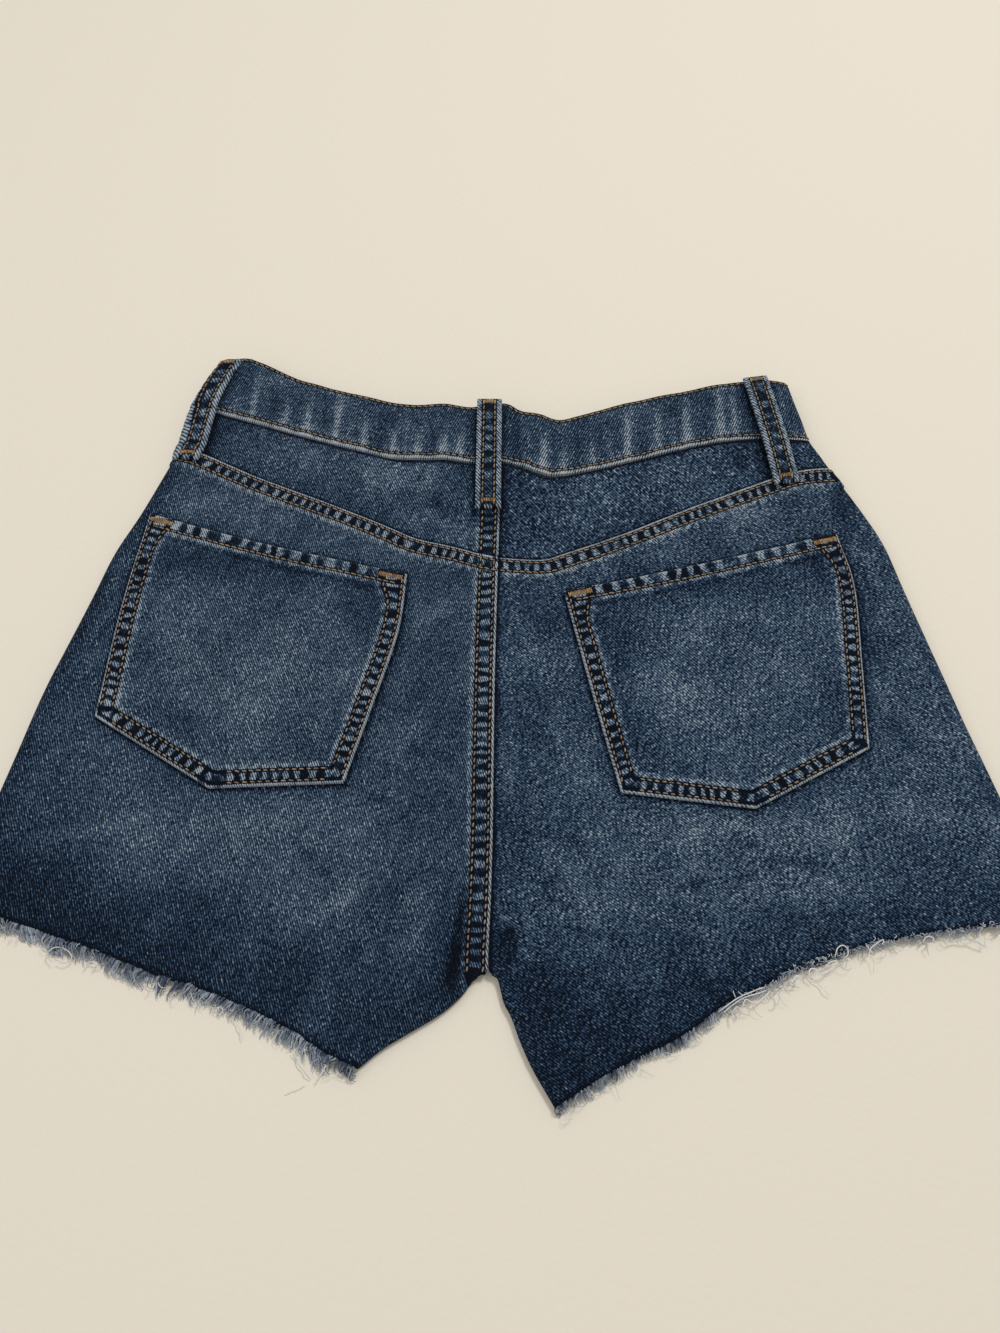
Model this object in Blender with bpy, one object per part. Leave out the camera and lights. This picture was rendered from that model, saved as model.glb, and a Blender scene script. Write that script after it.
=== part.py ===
"""Cut-off denim shorts lying flat on their front, back side up.

The cloth is cut and sewn as the real garment is: two back panels, two yokes, a waistband in three
pieces, two patch pockets, five belt loops, two front panels with pocket facings, a zip and a button,
and the frayed yarns of the four cut hem edges. Every piece is a thin wall of cloth, 0.3 mm from its
neighbours. Lengths below are in millimetres: x to the wearer's right, y towards the waist with 0 at
the crotch, z up with 0 where the front lies.
"""
import math
import random

import bpy
import numpy as np

MM = 0.001

# ---------------------------------------------------------------- driving sizes
DENIM = 1.2               # one layer of denim
BAND = 2.2                # the folded waistband
LOOP = 1.8                # a belt loop, folded from one strip
POCKET = 1.3              # a patch pocket
FACING = 1.0              # a front pocket's facing
SEAM_GAP = 0.3            # air between two pieces that meet at a seam
BACK_REST = 3.1           # outer face of the back where it lies on the front
FRONT_BAND_LIFT = 2.1     # the front panels rise to this height at their waistband
BAND_UNDER = 2.4          # outer face of the front waistband, standing on its loops and button
FLY_LAP = 1.75            # the right front stands this high over the left one at the fly
FACING_LAP = 1.85         # the pocket facings stand this high over the mouths' edges
FOLD_REACH = 3.2          # how far in from the silhouette a side fold starts to turn down
FELL_WIDTH = 9.0          # width of a felled seam's double layer
FELL_RAISE = 0.9          # how much thicker the cloth is there
FLY_EDGE_X = 2.6          # edge of the left front at the fly
FLY_BOTTOM = 104.0        # lower end of the fly
FLY_UNDERLAP = 8.0        # how far the right front passes under it, left of the centre
BAND_OVERLAP = 18.0       # how far each front waistband passes the centre
TUCK = 10.0               # how far a pocket facing reaches under the front panel
LOOP_WIDTH = 11.6
STRAND_PITCH = 4.0        # spacing of the locks of a frayed hem
STRAND_LENGTH = 6.8
HEM_STRIP = 1.2           # width of the strip of weft that holds the locks
YARN = 0.8                # thickness of that strip
HEM_PART = 0.6            # air between that strip and the cut edge
BUTTON_RADIUS = 8.5

# ---------------------------------------------------------------- outlines, as (x, y) from the left
SIDE_LEFT = [  # silhouette from the waist down to the hem
    (-137, 305), (-143, 291), (-148, 276), (-151.5, 263), (-155, 251), (-160.5, 236), (-168.5, 214),
    (-178, 192), (-184, 171), (-190, 150), (-198.5, 121), (-205, 92), (-212, 62), (-221, 28)]
SIDE_RIGHT = [
    (153, 290), (155, 279), (157.5, 267), (160, 254), (165, 244), (170.5, 234), (176, 224),
    (182, 212), (189, 195), (194.5, 171), (199.5, 150), (206.5, 121), (211, 102), (216, 83), (232, 21)]
WAIST_TOP = [  # upper edge of the back waistband, drawn up in soft waves
    (-137, 305), (-126, 306), (-118, 303), (-97, 292), (-76, 285), (-56, 279.5), (-40, 275.5),
    (-25, 275.5), (-10, 273), (0, 275), (9, 275), (17, 270), (26, 268.5), (35, 266), (45, 269),
    (56, 273), (76, 279), (97, 284), (117, 289), (140, 292), (153, 290)]
WAIST_BOTTOM = [  # seam of the back waistband with the yokes
    (-148, 275), (-138, 271.5), (-115, 264), (-94, 257), (-74, 251), (-55, 245.5), (-44, 243),
    (-24, 242), (-9, 239.5), (5, 240), (15, 237.5), (24, 233.5), (35, 233), (60, 239), (85, 246),
    (105, 251.5), (120, 254), (137, 255), (159.5, 253.5)]
YOKE_SEAM = [  # folded edge of the felled seam under the yokes
    (-155, 251), (-141, 247), (-110, 232), (-57, 210), (-33, 199), (-14, 193), (4.5, 188),
    (24, 188), (37, 192), (70, 204.5), (102, 218), (140, 233), (155, 237), (168.5, 238)]
CENTRE_BACK = [  # folded edge of the felled centre-back seam, from the waistband to the crotch
    (5.5, 239), (5.2, 214), (4.5, 188), (4, 170), (3, 124), (2.3, 60), (1.6, 30), (0.8, 12), (0.5, -1)]
INSEAM_LEFT = [  # from the crotch, 8 mm wide, to the hem
    (0.5, -1), (-4, -1.4), (-6.9, -5.6), (-11, -10.4), (-18.5, -16.4), (-30, -23), (-40, -28.8),
    (-49.3, -36)]
INSEAM_RIGHT = [
    (0.5, -1), (3.6, -1.6), (5.2, -6.5), (6.6, -12), (9.4, -17), (12.8, -26), (17.5, -36), (26, -50)]
HEM_LEFT = [  # cut edge of the back of the left leg, from the side inwards
    (-221, 28), (-198, 21), (-173, 13), (-149, 5), (-130, -2), (-114, -6.5), (-97, -13),
    (-77, -22), (-62, -30.5), (-49.3, -36)]
HEM_RIGHT = [
    (232, 21), (208, 18), (188, 16), (158, 11), (138, 6), (121, 0), (108, -7), (92, -14),
    (75, -25), (59, -32), (43, -40), (26, -50)]
FRONT_WAIST_DIP = 35.0    # the front waistband sinks this far below a line between its ends
FRONT_BAND_HEIGHT = 34.0
POCKET_MOUTH_X = {-1: -92.0, 1: 96.0}  # where each front pocket mouth leaves the waistband
POCKET_MOUTH_Y = 176.0               # where it reaches the side

POCKETS = {  # edges of the patch pockets: top from the left, sides from the top, point below
    "left": {"top": [(-163, 212), (-101, 194), (-38.5, 180)],
             "left": [(-163, 212), (-169.6, 165), (-173.5, 108.5)],
             "right": [(-38.5, 180), (-41.5, 150), (-52, 112), (-62, 78)],
             "point": (-119.5, 75.5)},
    "right": {"top": [(35, 171), (100, 184.8), (165.8, 201.3)],
              "left": [(35, 171), (47, 117), (57, 73.8)],
              "right": [(165.8, 201.3), (170.8, 174), (168.8, 135), (166, 93.5)],
              "point": (114, 66.7)}}
POCKET_INSETS = (0, 1.0, FELL_WIDTH, FELL_WIDTH + 1.5)
POCKET_RAISE = (-0.2, 0.5, 0.5, 0.0)   # of its turned-in edge at those insets

# what the back rises over: height, reach
SWELLS = {
    "side_fold": (2.6, 21),
    "inseam": (2.0, 13),
    "waistband": (4.3, 27),
    "fly": (3.4, 27),
    "button_end": (6.2, 34),
    "pocket_mouth": (2.4, 56)}
MOUTH_MIDDLE = (123.0, 216.0)     # centre of a front pocket's mouth, its x on either side

# ridges (+) and troughs (-) of the cloth: from, to, half width, height
FOLDS = [
    ((-16, 26), (-24, -8), 5.0, 1.3),
    ((-9, 24), (-13, -2), 2.6, -0.8),
    ((13, 30), (9, 4), 4.0, 1.2),
    ((-70, 60), (-170, 30), 12.0, 0.7),
    ((40, 40), (130, 4), 12.0, 0.8),
    ((60, 55), (190, 50), 14.0, 0.6),
    ((-30, 60), (-60, -10), 10.0, 0.6),
    ((172, 170), (196, 90), 9.0, 0.5),
    ((60, 222), (120, 240), 6.0, 0.5),
    ((-100, 246), (-50, 226), 6.0, 0.5)]

# pleat-like waves of the gathered waistband: middle, half width, height
BAND_WAVES = [
    (-112, 8, 0.5), (-88, 7, 0.6), (-64, 8, 0.5), (-41, 6, 0.7), (-20, 6, 0.5), (22, 6, 0.9),
    (44, 7, 0.6), (66, 7, 0.5), (88, 8, 0.6), (112, 7, 0.4)]

BACK_BAND = 8.3           # outer face of the back waistband
OVERLAP_RISE = 2.3        # how much higher it is over the overlapped front ends

# belt loops on the back: middle of the strip's top end, of its bottom end, how far it stands off
BACK_LOOPS = {
    "loop_back_centre": ((0, 276.5), (-0.5, 213), 0.5),
    "loop_back_right": ((135.5, 292.5), (145, 229), 1.5)}
SIDE_LOOP = {"top": 303.5, "bottom": 243.0, "stand_off": 1.1, "lean": 3.6}
FRONT_LOOPS = {"loop_front_left": -78.0, "loop_front_right": 80.0}   # their x

DENIM_COLOUR = (0.082, 0.135, 0.22, 1)
DENIM_DARK = (0.045, 0.075, 0.13, 1)
YARN_COLOUR = (0.48, 0.55, 0.62, 1)
BRASS_COLOUR = (0.42, 0.28, 0.13, 1)


# ---------------------------------------------------------------- curves
class Line:
    """A smooth line through a few points, read by its fraction of length or by its x or y."""

    def __init__(self, points, fineness=16):
        p = np.array(points, float)
        ends = np.vstack([2 * p[0] - p[1], p, 2 * p[-1] - p[-2]])
        fine = [p[0]]
        for a, b, c, d in zip(ends, ends[1:], ends[2:], ends[3:]):
            for t in np.arange(1, fineness + 1) / fineness:
                fine.append(0.5 * (2 * b + (c - a) * t + (2 * a - 5 * b + 4 * c - d) * t**2
                                   + (3 * b - a - 3 * c + d) * t**3))
        self.points = np.array(fine)
        steps = np.hypot(*np.diff(self.points, axis=0).T)
        self.length = steps.sum()
        self.fractions = np.concatenate([[0], np.cumsum(steps)]) / self.length

    def at(self, fraction):
        f = np.clip(fraction, 0, 1)
        return np.stack([np.interp(f, self.fractions, self.points[:, k]) for k in (0, 1)], -1)

    def x_at(self, y):
        order = np.argsort(self.points[:, 1])
        return np.interp(y, self.points[order, 1], self.points[order, 0])

    def y_at(self, x):
        order = np.argsort(self.points[:, 0])
        return np.interp(x, self.points[order, 0], self.points[order, 1])

    def distance(self, x, y):
        p = self.points[::3]
        x, y = np.asarray(x, float), np.asarray(y, float)
        return np.sqrt(np.min((x[..., None] - p[:, 0])**2 + (y[..., None] - p[:, 1])**2, -1))

    def moved(self, dx, dy):
        copy = object.__new__(Line)
        copy.points = self.points + (dx, dy)
        copy.length, copy.fractions = self.length, self.fractions
        return copy


def part_of(line, start, end):
    """The stretch of a line between two fractions of its length, as a line."""
    return Line(line.at(np.linspace(start, end, 24)), 2)


def joined(*lines):
    points = np.vstack([line.points for line in lines])
    keep = np.r_[True, np.hypot(*np.diff(points, axis=0).T) > 1e-6]
    return Line(points[keep], 1)


side = {-1: Line(SIDE_LEFT), 1: Line(SIDE_RIGHT)}
waist_top = Line(WAIST_TOP)
waist_bottom = Line(WAIST_BOTTOM)
yoke_seam = Line(YOKE_SEAM)
centre_back = Line(CENTRE_BACK)
inseam = {-1: Line(INSEAM_LEFT), 1: Line(INSEAM_RIGHT)}
hem = {-1: Line(HEM_LEFT), 1: Line(HEM_RIGHT)}


def front_waist(x, drop=0.0):
    """Height y of the front waistband's upper edge, or of a line a given drop below it."""
    left = np.array(SIDE_LEFT[0]) + drop * np.array([-0.32, -0.88])
    right = np.array(SIDE_RIGHT[0]) + drop * np.array([0.2, -1.06])
    t = np.clip((np.asarray(x, float) - left[0]) / (right[0] - left[0]), 0, 1)
    sag = FRONT_WAIST_DIP * (1 - np.abs(2 * t - 1)**2.2)
    return left[1] + (right[1] - left[1]) * t - sag


# ---------------------------------------------------------------- heights
def smooth(t):
    t = np.clip(t, 0, 1)
    return t * t * (3 - 2 * t)


def bump(distance, reach, power=2.0):
    return np.exp(-(np.abs(distance) / reach)**power)


def segment_distance(x, y, start, end):
    """Distance to a segment, and the fraction along it of the nearest point."""
    (x0, y0), (x1, y1) = start, end
    length = math.hypot(x1 - x0, y1 - y0)
    t = np.clip(((x - x0) * (x1 - x0) + (y - y0) * (y1 - y0)) / length**2, 0, 1)
    return np.hypot(x - x0 - t * (x1 - x0), y - y0 - t * (y1 - y0)), t


def folds(x, y):
    total = 0.0
    for start, end, width, height in FOLDS:
        d, t = segment_distance(x, y, start, end)
        total = total + height * bump(d, width) * (0.35 + 0.65 * np.sin(math.pi * t))
    return total


def side_gap(x, y):
    """Distance in x to the nearer side of the silhouette."""
    return np.minimum(x - side[-1].x_at(y), side[1].x_at(y) - x)


def swell(name, distance, power=2.0):
    height, reach = SWELLS[name]
    return height * bump(distance, reach, power)


def back_height(x, y):
    """Outer face of the back: it lies on the front and rises over its folds, band, fly and facings."""
    x, y = np.asarray(x, float), np.asarray(y, float)
    legs = np.minimum(inseam[-1].distance(x, y), inseam[1].distance(x, y))
    mouth_x, mouth_y = MOUTH_MIDDLE
    swells = [
        swell("side_fold", side_gap(x, y)),
        swell("inseam", legs),
        swell("waistband", np.maximum(waist_bottom.y_at(x) - y, 0)),
        swell("fly", x + 5, 4) * smooth((y - FLY_BOTTOM + 40) / 24),
        swell("button_end", x, 4) * bump(np.maximum(224 - y, 0), 18),
        swell("pocket_mouth", np.abs(x - 3) - mouth_x + 3, 4) * bump(y - mouth_y, 50, 4)]
    pile = sum(s**3 for s in swells)**(1 / 3)
    ripple = 0.18 * (1 + np.sin(x / 19 + 1.3 * np.sin(y / 41))) * (1 + np.sin(y / 23 + x / 57))
    return BACK_REST + pile + np.maximum(folds(x, y), -0.6) + ripple


def front_lift(x, y):
    """Outer face of the front layer: flat on the ground, rising to meet its waistband."""
    below_band = front_waist(x, FRONT_BAND_HEIGHT) - y
    return FRONT_BAND_LIFT * smooth(1 - below_band / 28)


def band_height(x, y=None):
    """Outer face of the back waistband, over the overlapped ends of the front one."""
    x = np.asarray(x, float)
    waves = sum(h * bump(x - at, width) for at, width, h in BAND_WAVES)
    return BACK_BAND + OVERLAP_RISE * bump(x, 2 * BAND_OVERLAP, 4) + waves


def felled(x, y):
    """Extra height of the felled seams under the yokes and down the centre back."""
    below_yoke = yoke_seam.y_at(x) - y
    left_of_centre = centre_back.x_at(y) - x
    reach = FELL_WIDTH + 2
    under_yoke = (below_yoke > -1) & (below_yoke < reach)
    on_centre = (left_of_centre > -1) & (left_of_centre < reach)
    return FELL_RAISE * (under_yoke | on_centre)


def skin(x, y):
    """Top of the back, waistband and felled seams included."""
    on_band = np.asarray(y) > waist_bottom.y_at(x) - SEAM_GAP
    return np.where(on_band, band_height(x), back_height(x, y) + felled(x, y))


# ---------------------------------------------------------------- meshes
def material(name, colour, roughness, metallic=0.0):
    found = bpy.data.materials.get(name)
    if found:
        return found
    made = bpy.data.materials.new(name)
    made.use_nodes = True
    shader = made.node_tree.nodes["Principled BSDF"]
    shader.inputs["Base Color"].default_value = colour
    shader.inputs["Roughness"].default_value = roughness
    shader.inputs["Metallic"].default_value = metallic
    return made


def solid(name, points, faces, look):
    """A named object from points in millimetres."""
    mesh = bpy.data.meshes.new(name)
    mesh.from_pydata([tuple(p * MM) for p in np.asarray(points, float)], [], faces)
    mesh.validate()
    item = bpy.data.objects.new(name, mesh)
    bpy.context.scene.collection.objects.link(item)
    mesh.materials.append(look)
    mesh.shade_smooth()
    mesh.set_sharp_from_angle(angle=math.radians(40))
    return item


def wall(name, outer, inner, look):
    """A closed wall between two grids of points; rows run down, columns to the right, outer seen
    from outside."""
    rows, cols = outer.shape[:2]
    points = np.vstack([outer.reshape(-1, 3), inner.reshape(-1, 3)])
    half = rows * cols
    faces = []
    for r in range(rows - 1):
        for c in range(cols - 1):
            a, b = r * cols + c, r * cols + c + 1
            d, e = a + cols, b + cols
            faces.append((a, d, e, b))
            faces.append((a + half, b + half, e + half, d + half))
    rim = ([(0, c) for c in range(cols - 1)] + [(r, cols - 1) for r in range(rows - 1)]
           + [(rows - 1, c) for c in range(cols - 1, 0, -1)] + [(r, 0) for r in range(rows - 1, 0, -1)])
    loop = [r * cols + c for r, c in rim]
    for a, b in zip(loop, loop[1:] + loop[:1]):
        faces.append((a, b, b + half, a + half))
    return solid(name, points, faces, look)


def patch(top, bottom, left, right, u, v):
    """Plan points of a four-sided patch of cloth between its edges, read at fractions u and v."""
    u, v = np.asarray(u)[None, :, None], np.asarray(v)[:, None, None]
    t, b = top.at(u[..., 0]), bottom.at(u[..., 0])
    l, r = left.at(v[..., 0]), right.at(v[..., 0])
    corners = ((1 - u) * (1 - v) * top.at(0) + u * (1 - v) * top.at(1)
               + (1 - u) * v * bottom.at(0) + u * v * bottom.at(1))
    return (1 - v) * t + v * b + (1 - u) * l + u * r - corners


FOLD_ANGLES = (90, 62, 32, 0)        # where a side fold's columns stand, from the edge inwards
FOLD_INSETS = tuple(FOLD_REACH * (1 - math.sin(math.radians(a))) for a in FOLD_ANGLES)
FELL_INSETS = (0, 1.2, FELL_WIDTH, FELL_WIDTH + 2)
FELL_PROFILE = np.array([0.6, 1, 1, 0]) * FELL_RAISE


def stations(length, start, end, count):
    """Fractions across a piece with rows at given insets from both edges and even ones between."""
    first = [inset / length for inset in start]
    last = [1 - inset / length for inset in reversed(end)]
    middle = np.linspace(first[-1], last[0], count + 1)[1:-1]
    return np.array(first + list(middle) + last)


def body_middle(x, y):
    return (back_height(x, y) + front_lift(x, y)) / 2


def band_middle(x, y):
    return (band_height(x) + BAND_UNDER) / 2


def layer(plan, face, middle, thickness, up, left=None, right=None, thicken=0.0, shift=0.0):
    """Outer and inner grids of a layer of cloth whose outer face looks up (1) or down (-1).

    left and right say for each row how far that edge turns, 0 to 1, to meet the other layer at the
    middle; an edge with None stays flat."""
    x, y = plan[..., 0], plan[..., 1]
    z = face(x, y) + shift
    outer = np.dstack([plan, z + thicken])
    inner = np.dstack([plan, z - up * thickness])
    meeting = middle(x, y) + up * SEAM_GAP / 2
    for turn, edge, step in ((left, 0, 1), (right, plan.shape[1] - 1, -1)):
        if turn is None:
            continue
        inset = edge + step * (len(FOLD_ANGLES) - 1)
        out = plan[:, edge] - plan[:, inset]
        out /= np.hypot(out[:, 0], out[:, 1])[:, None]
        for k, angle in enumerate(FOLD_ANGLES[:-1]):
            column = edge + step * k
            a = math.radians(angle)
            here = z[:, inset] + (meeting[:, inset] - z[:, inset]) * turn * (1 - math.cos(a))
            outer[:, column, 2] = here
            inner[:, column, :2] = plan[:, column] - out * (thickness * np.sin(turn * a))[:, None]
            inner[:, column, 2] = here - up * thickness * np.cos(turn * a)
    return outer, inner


# ---------------------------------------------------------------- the back
def crossing(line, other):
    """Fraction along a line where it comes nearest to another."""
    fractions = np.linspace(0, 1, 400)
    points = line.at(fractions)
    return fractions[np.argmin(other.distance(points[:, 0], points[:, 1]))]


def nearest_fraction(line, point):
    return crossing(line, Line([point, point + (0, -0.5)], 1))


PANEL_WIDTH = 175.0       # nominal width over which a panel's columns are spaced
TRIM = 0.0008             # fraction of a side kept free where two pieces follow each other
CROTCH_ROWS = (0, 3.2, 7.5, 14)   # rows of points at these lengths below the crotch


def crotch_rows(v, seam, edge):
    """Adds rows at the crotch, where a centre seam ends and its edge goes on down the leg."""
    extra = (seam.length + np.array(CROTCH_ROWS)) / edge.length
    clear = [np.abs(extra - value).min() > 0.012 for value in v]
    return np.sort(np.concatenate([v[clear], extra]))


def back_panel(sign, name, look):
    """A back panel from the yoke seam to the hem, with its felled top edge and, on the left, the
    felled edge of the centre-back seam."""
    outer_edge = part_of(side[sign], crossing(side[sign], yoke_seam) + TRIM, 1)
    seam = part_of(centre_back.moved(sign * SEAM_GAP / 2, 0), crossing(centre_back, yoke_seam), 0.995)
    inner_edge = joined(seam, part_of(inseam[sign].moved(sign * SEAM_GAP / 2, 0), 0.02, 1))
    top_line = yoke_seam.moved(0, -SEAM_GAP / 2)
    split = crossing(yoke_seam, centre_back)
    v = crotch_rows(stations(210.0, FELL_INSETS, [0], 15), seam, inner_edge)
    leg_turn = smooth((v - seam.length / inner_edge.length + 0.01) / 0.05)
    side_turn = np.ones(len(v))
    thicken = np.zeros((len(v), 1))
    thicken[:4, 0] = FELL_PROFILE
    if sign < 0:
        edges = part_of(top_line, 0, split), hem[sign], outer_edge, inner_edge
        u = stations(PANEL_WIDTH, FOLD_INSETS, FELL_INSETS, 13)
        plan = patch(*edges, u, v)
        u_leg = np.concatenate([u[:-4], 1 - np.array(FOLD_INSETS[::-1]) / PANEL_WIDTH])
        plan += (patch(*edges, u_leg, v) - plan) * leg_turn[:, None, None]
        centre_raise = np.zeros(len(u))
        centre_raise[-4:] = FELL_PROFILE[::-1]
        thicken = np.maximum(thicken, centre_raise * (1 - leg_turn)[:, None])
        turns = side_turn, leg_turn
    else:
        edges = part_of(top_line, split, 1), Line(hem[sign].points[::-1], 1), inner_edge, outer_edge
        plan = patch(*edges, stations(PANEL_WIDTH, FOLD_INSETS, FOLD_INSETS, 15), v)
        turns = leg_turn, side_turn
    return wall(name, *layer(plan, back_height, body_middle, DENIM, 1, *turns, thicken), look)


def yoke(sign, name, look):
    """A yoke between the waistband and the back panels; the left one carries the centre seam."""
    edge = part_of(side[sign], crossing(side[sign], waist_bottom) + TRIM,
                   crossing(side[sign], yoke_seam) - TRIM)
    seam = part_of(centre_back.moved(sign * SEAM_GAP / 2, 0), 0.0, crossing(centre_back, yoke_seam))
    top_line, bottom_line = waist_bottom.moved(0, -SEAM_GAP / 2), yoke_seam.moved(0, SEAM_GAP / 2)
    split_top, split_bottom = crossing(waist_bottom, centre_back), crossing(yoke_seam, centre_back)
    v = np.linspace(0, 1, 6)
    full = np.ones(len(v))
    if sign < 0:
        u = stations(PANEL_WIDTH, FOLD_INSETS, FELL_INSETS, 13)
        plan = patch(part_of(top_line, 0, split_top), part_of(bottom_line, 0, split_bottom),
                     edge, seam, u, v)
        thicken = np.zeros(len(u))
        thicken[-4:] = FELL_PROFILE[::-1]
        grids = layer(plan, back_height, body_middle, DENIM, 1, full, None, thicken)
    else:
        u = stations(PANEL_WIDTH, FOLD_INSETS, FOLD_INSETS, 15)
        plan = patch(part_of(top_line, split_top, 1), part_of(bottom_line, split_bottom, 1),
                     seam, edge, u, v)
        grids = layer(plan, back_height, body_middle, DENIM, 1, None, full)
    return wall(name, *grids, look)


def waistband_back(look):
    """The back waistband, drawn up in soft waves, its ends folded over the sides."""
    left = part_of(side[-1], 0.0, crossing(side[-1], waist_bottom))
    right = part_of(side[1], 0.0, crossing(side[1], waist_bottom))
    u = stations(290.0, FOLD_INSETS, FOLD_INSETS, 46)
    v = np.array([0, 0.04, 0.35, 0.68, 0.97, 1])
    rounding = np.array([-0.5, 0, 0.15, 0.1, 0, -0.4])
    plan = patch(waist_top, waist_bottom.moved(0, SEAM_GAP / 2), left, right, u, v)
    full = np.ones(len(v))
    grids = layer(plan, band_height, band_middle, BAND, 1, full, full, rounding[:, None])
    return wall("waistband_back", *grids, look)


def pocket(edges, name, look):
    """A patch pocket lying on its back panel, thicker along its turned-in edges."""
    top, left, right = Line(edges["top"]), Line(edges["left"], 12), Line(edges["right"], 12)
    point = np.array(edges["point"], float)
    bottom = joined(Line([left.at(1), point], 2), Line([point, right.at(1)], 2))
    u = stations(122.0, POCKET_INSETS, POCKET_INSETS, 8)
    v = stations(104.0, POCKET_INSETS, POCKET_INSETS, 7)
    knee = np.hypot(*(point - left.at(1))) / bottom.length
    u[np.argmin(np.abs(u - knee))] = knee
    raise_u, raise_v = np.zeros(len(u)), np.zeros(len(v))
    for raised in (raise_u, raise_v):
        raised[:4], raised[-4:] = POCKET_RAISE, POCKET_RAISE[::-1]
    raise_by = np.maximum(raise_u[None, :], raise_v[:, None])
    raise_by[:, [0, -1]] = POCKET_RAISE[0]
    raise_by[[0, -1], :] = POCKET_RAISE[0]
    plan = patch(top, bottom, left, right, u, v)
    base = back_height(plan[..., 0], plan[..., 1]) + SEAM_GAP
    return wall(name, np.dstack([plan, base + POCKET + raise_by]), np.dstack([plan, base]), look)


# ---------------------------------------------------------------- belt loops
def strap(name, sections, look):
    """A strip of cloth from a row of four-cornered sections: outer left, outer right, inner right,
    inner left."""
    points = np.array(sections, float).reshape(-1, 3)
    faces = []
    for k in range(len(sections) - 1):
        a, b = 4 * k, 4 * k + 4
        for i in range(4):
            j = (i + 1) % 4
            faces.append((a + i, b + i, b + j, a + j))
    last = 4 * (len(sections) - 1)
    faces.append((0, 1, 2, 3))
    faces.append((last + 3, last + 2, last + 1, last))
    return solid(name, points, faces, look)


def back_loop(name, top, bottom, stand_off, look):
    """A loop that lies over the waistband, tacked above it and on the yoke below."""
    top, bottom = np.array(top, float), np.array(bottom, float)
    along = (bottom - top) / np.hypot(*(bottom - top))
    across = np.array([-along[1], along[0]]) * LOOP_WIDTH / 2
    sections = []
    for t in np.linspace(0, 1, 13):
        middle = top + (bottom - top) * t
        under = [middle + across * s + along * d for s in (-1, -0.5, 0, 0.5, 1) for d in (-2.8, 0, 2.8)]
        ground = max(float(skin(*spot)) for spot in under)
        z = ground + SEAM_GAP + 0.15 + stand_off * math.sin(math.pi * t)**0.8
        left, right = middle - across, middle + across
        sections.append([(*left, z + LOOP), (*right, z + LOOP), (*right, z), (*left, z)])
    return strap(name, sections, look)


def side_profile(y, s, off):
    """Point on the left fold of the waistband and yoke, s along it from the silhouette, off its
    face."""
    x_edge = float(side[-1].x_at(y))
    top = float(skin(x_edge + FOLD_REACH, y))
    middle = (top + FRONT_BAND_LIFT) / 2
    quarter = math.pi / 2 * math.sqrt((FOLD_REACH**2 + (top - middle)**2) / 2)
    if s < quarter:
        a = math.pi / 2 * (1 - s / quarter)
        return (x_edge + FOLD_REACH * (1 - math.sin(a)) - off * math.sin(a), y,
                middle + (top - middle) * math.cos(a) + off * math.cos(a))
    x = x_edge + FOLD_REACH + s - quarter
    return (x, y, float(skin(x, y)) + off)


def loop_on_fold(name, look):
    """The left loop, bent over the side fold of the waistband."""
    across = (0.4, 2.4, 4.6, 7.6, 11.8)      # distances along the fold from the silhouette
    outer, inner = [], []
    for t in np.linspace(0, 1, 12):
        y = SIDE_LOOP["top"] + (SIDE_LOOP["bottom"] - SIDE_LOOP["top"]) * t
        lift = SEAM_GAP + 0.5 + SIDE_LOOP["stand_off"] * math.sin(math.pi * t)
        lean = SIDE_LOOP["lean"] * t**1.5
        outer.append([side_profile(y, s + lean, lift + LOOP) for s in across])
        inner.append([side_profile(y, s + lean, lift) for s in across])
    return wall(name, np.array(outer), np.array(inner), look)


def front_loop(name, x, look):
    """A loop under the front waistband, flat on the ground, its ends caught in the band's edges."""
    top = float(front_waist(x)) - 0.6
    bottom = float(front_waist(x, FRONT_BAND_HEIGHT)) + 1.0
    half = LOOP_WIDTH / 2
    sections = []
    for y in (top, top - 6, bottom + 6, bottom):
        sections.append([(x - half, y, LOOP), (x + half, y, LOOP), (x + half, y, 0), (x - half, y, 0)])
    return strap(name, sections, look)


# ---------------------------------------------------------------- the front
def front_band_line(drop):
    xs = np.linspace(SIDE_LEFT[0][0] - 0.32 * drop, SIDE_RIGHT[0][0] + 0.2 * drop, 41)
    return Line([(x, float(front_waist(x, drop))) for x in xs], 2)


front_top = front_band_line(0.0)
front_seam = front_band_line(FRONT_BAND_HEIGHT)


def under_wall(name, grids, look):
    """A wall whose outer face looks down, so its columns are read the other way."""
    outer, inner = grids
    return wall(name, outer[:, ::-1], inner[:, ::-1], look)


def pocket_mouth(sign, shift):
    """Curved edge of a front pocket, from the waistband to the side, moved in by a shift."""
    x0 = POCKET_MOUTH_X[sign] - sign * shift
    y0 = float(front_waist(x0, FRONT_BAND_HEIGHT)) - SEAM_GAP
    y1 = POCKET_MOUTH_Y
    x1 = float(side[sign].x_at(y1))
    bend = (x0 + (x1 - x0) * 0.12, y1 + (y0 - y1) * 0.35 - shift * 0.6)
    low = (x0 + (x1 - x0) * 0.5, y1 + (y0 - y1) * 0.06 - shift * 0.9)
    return Line([(x0, y0), bend, low, (x1, y1)])


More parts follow.
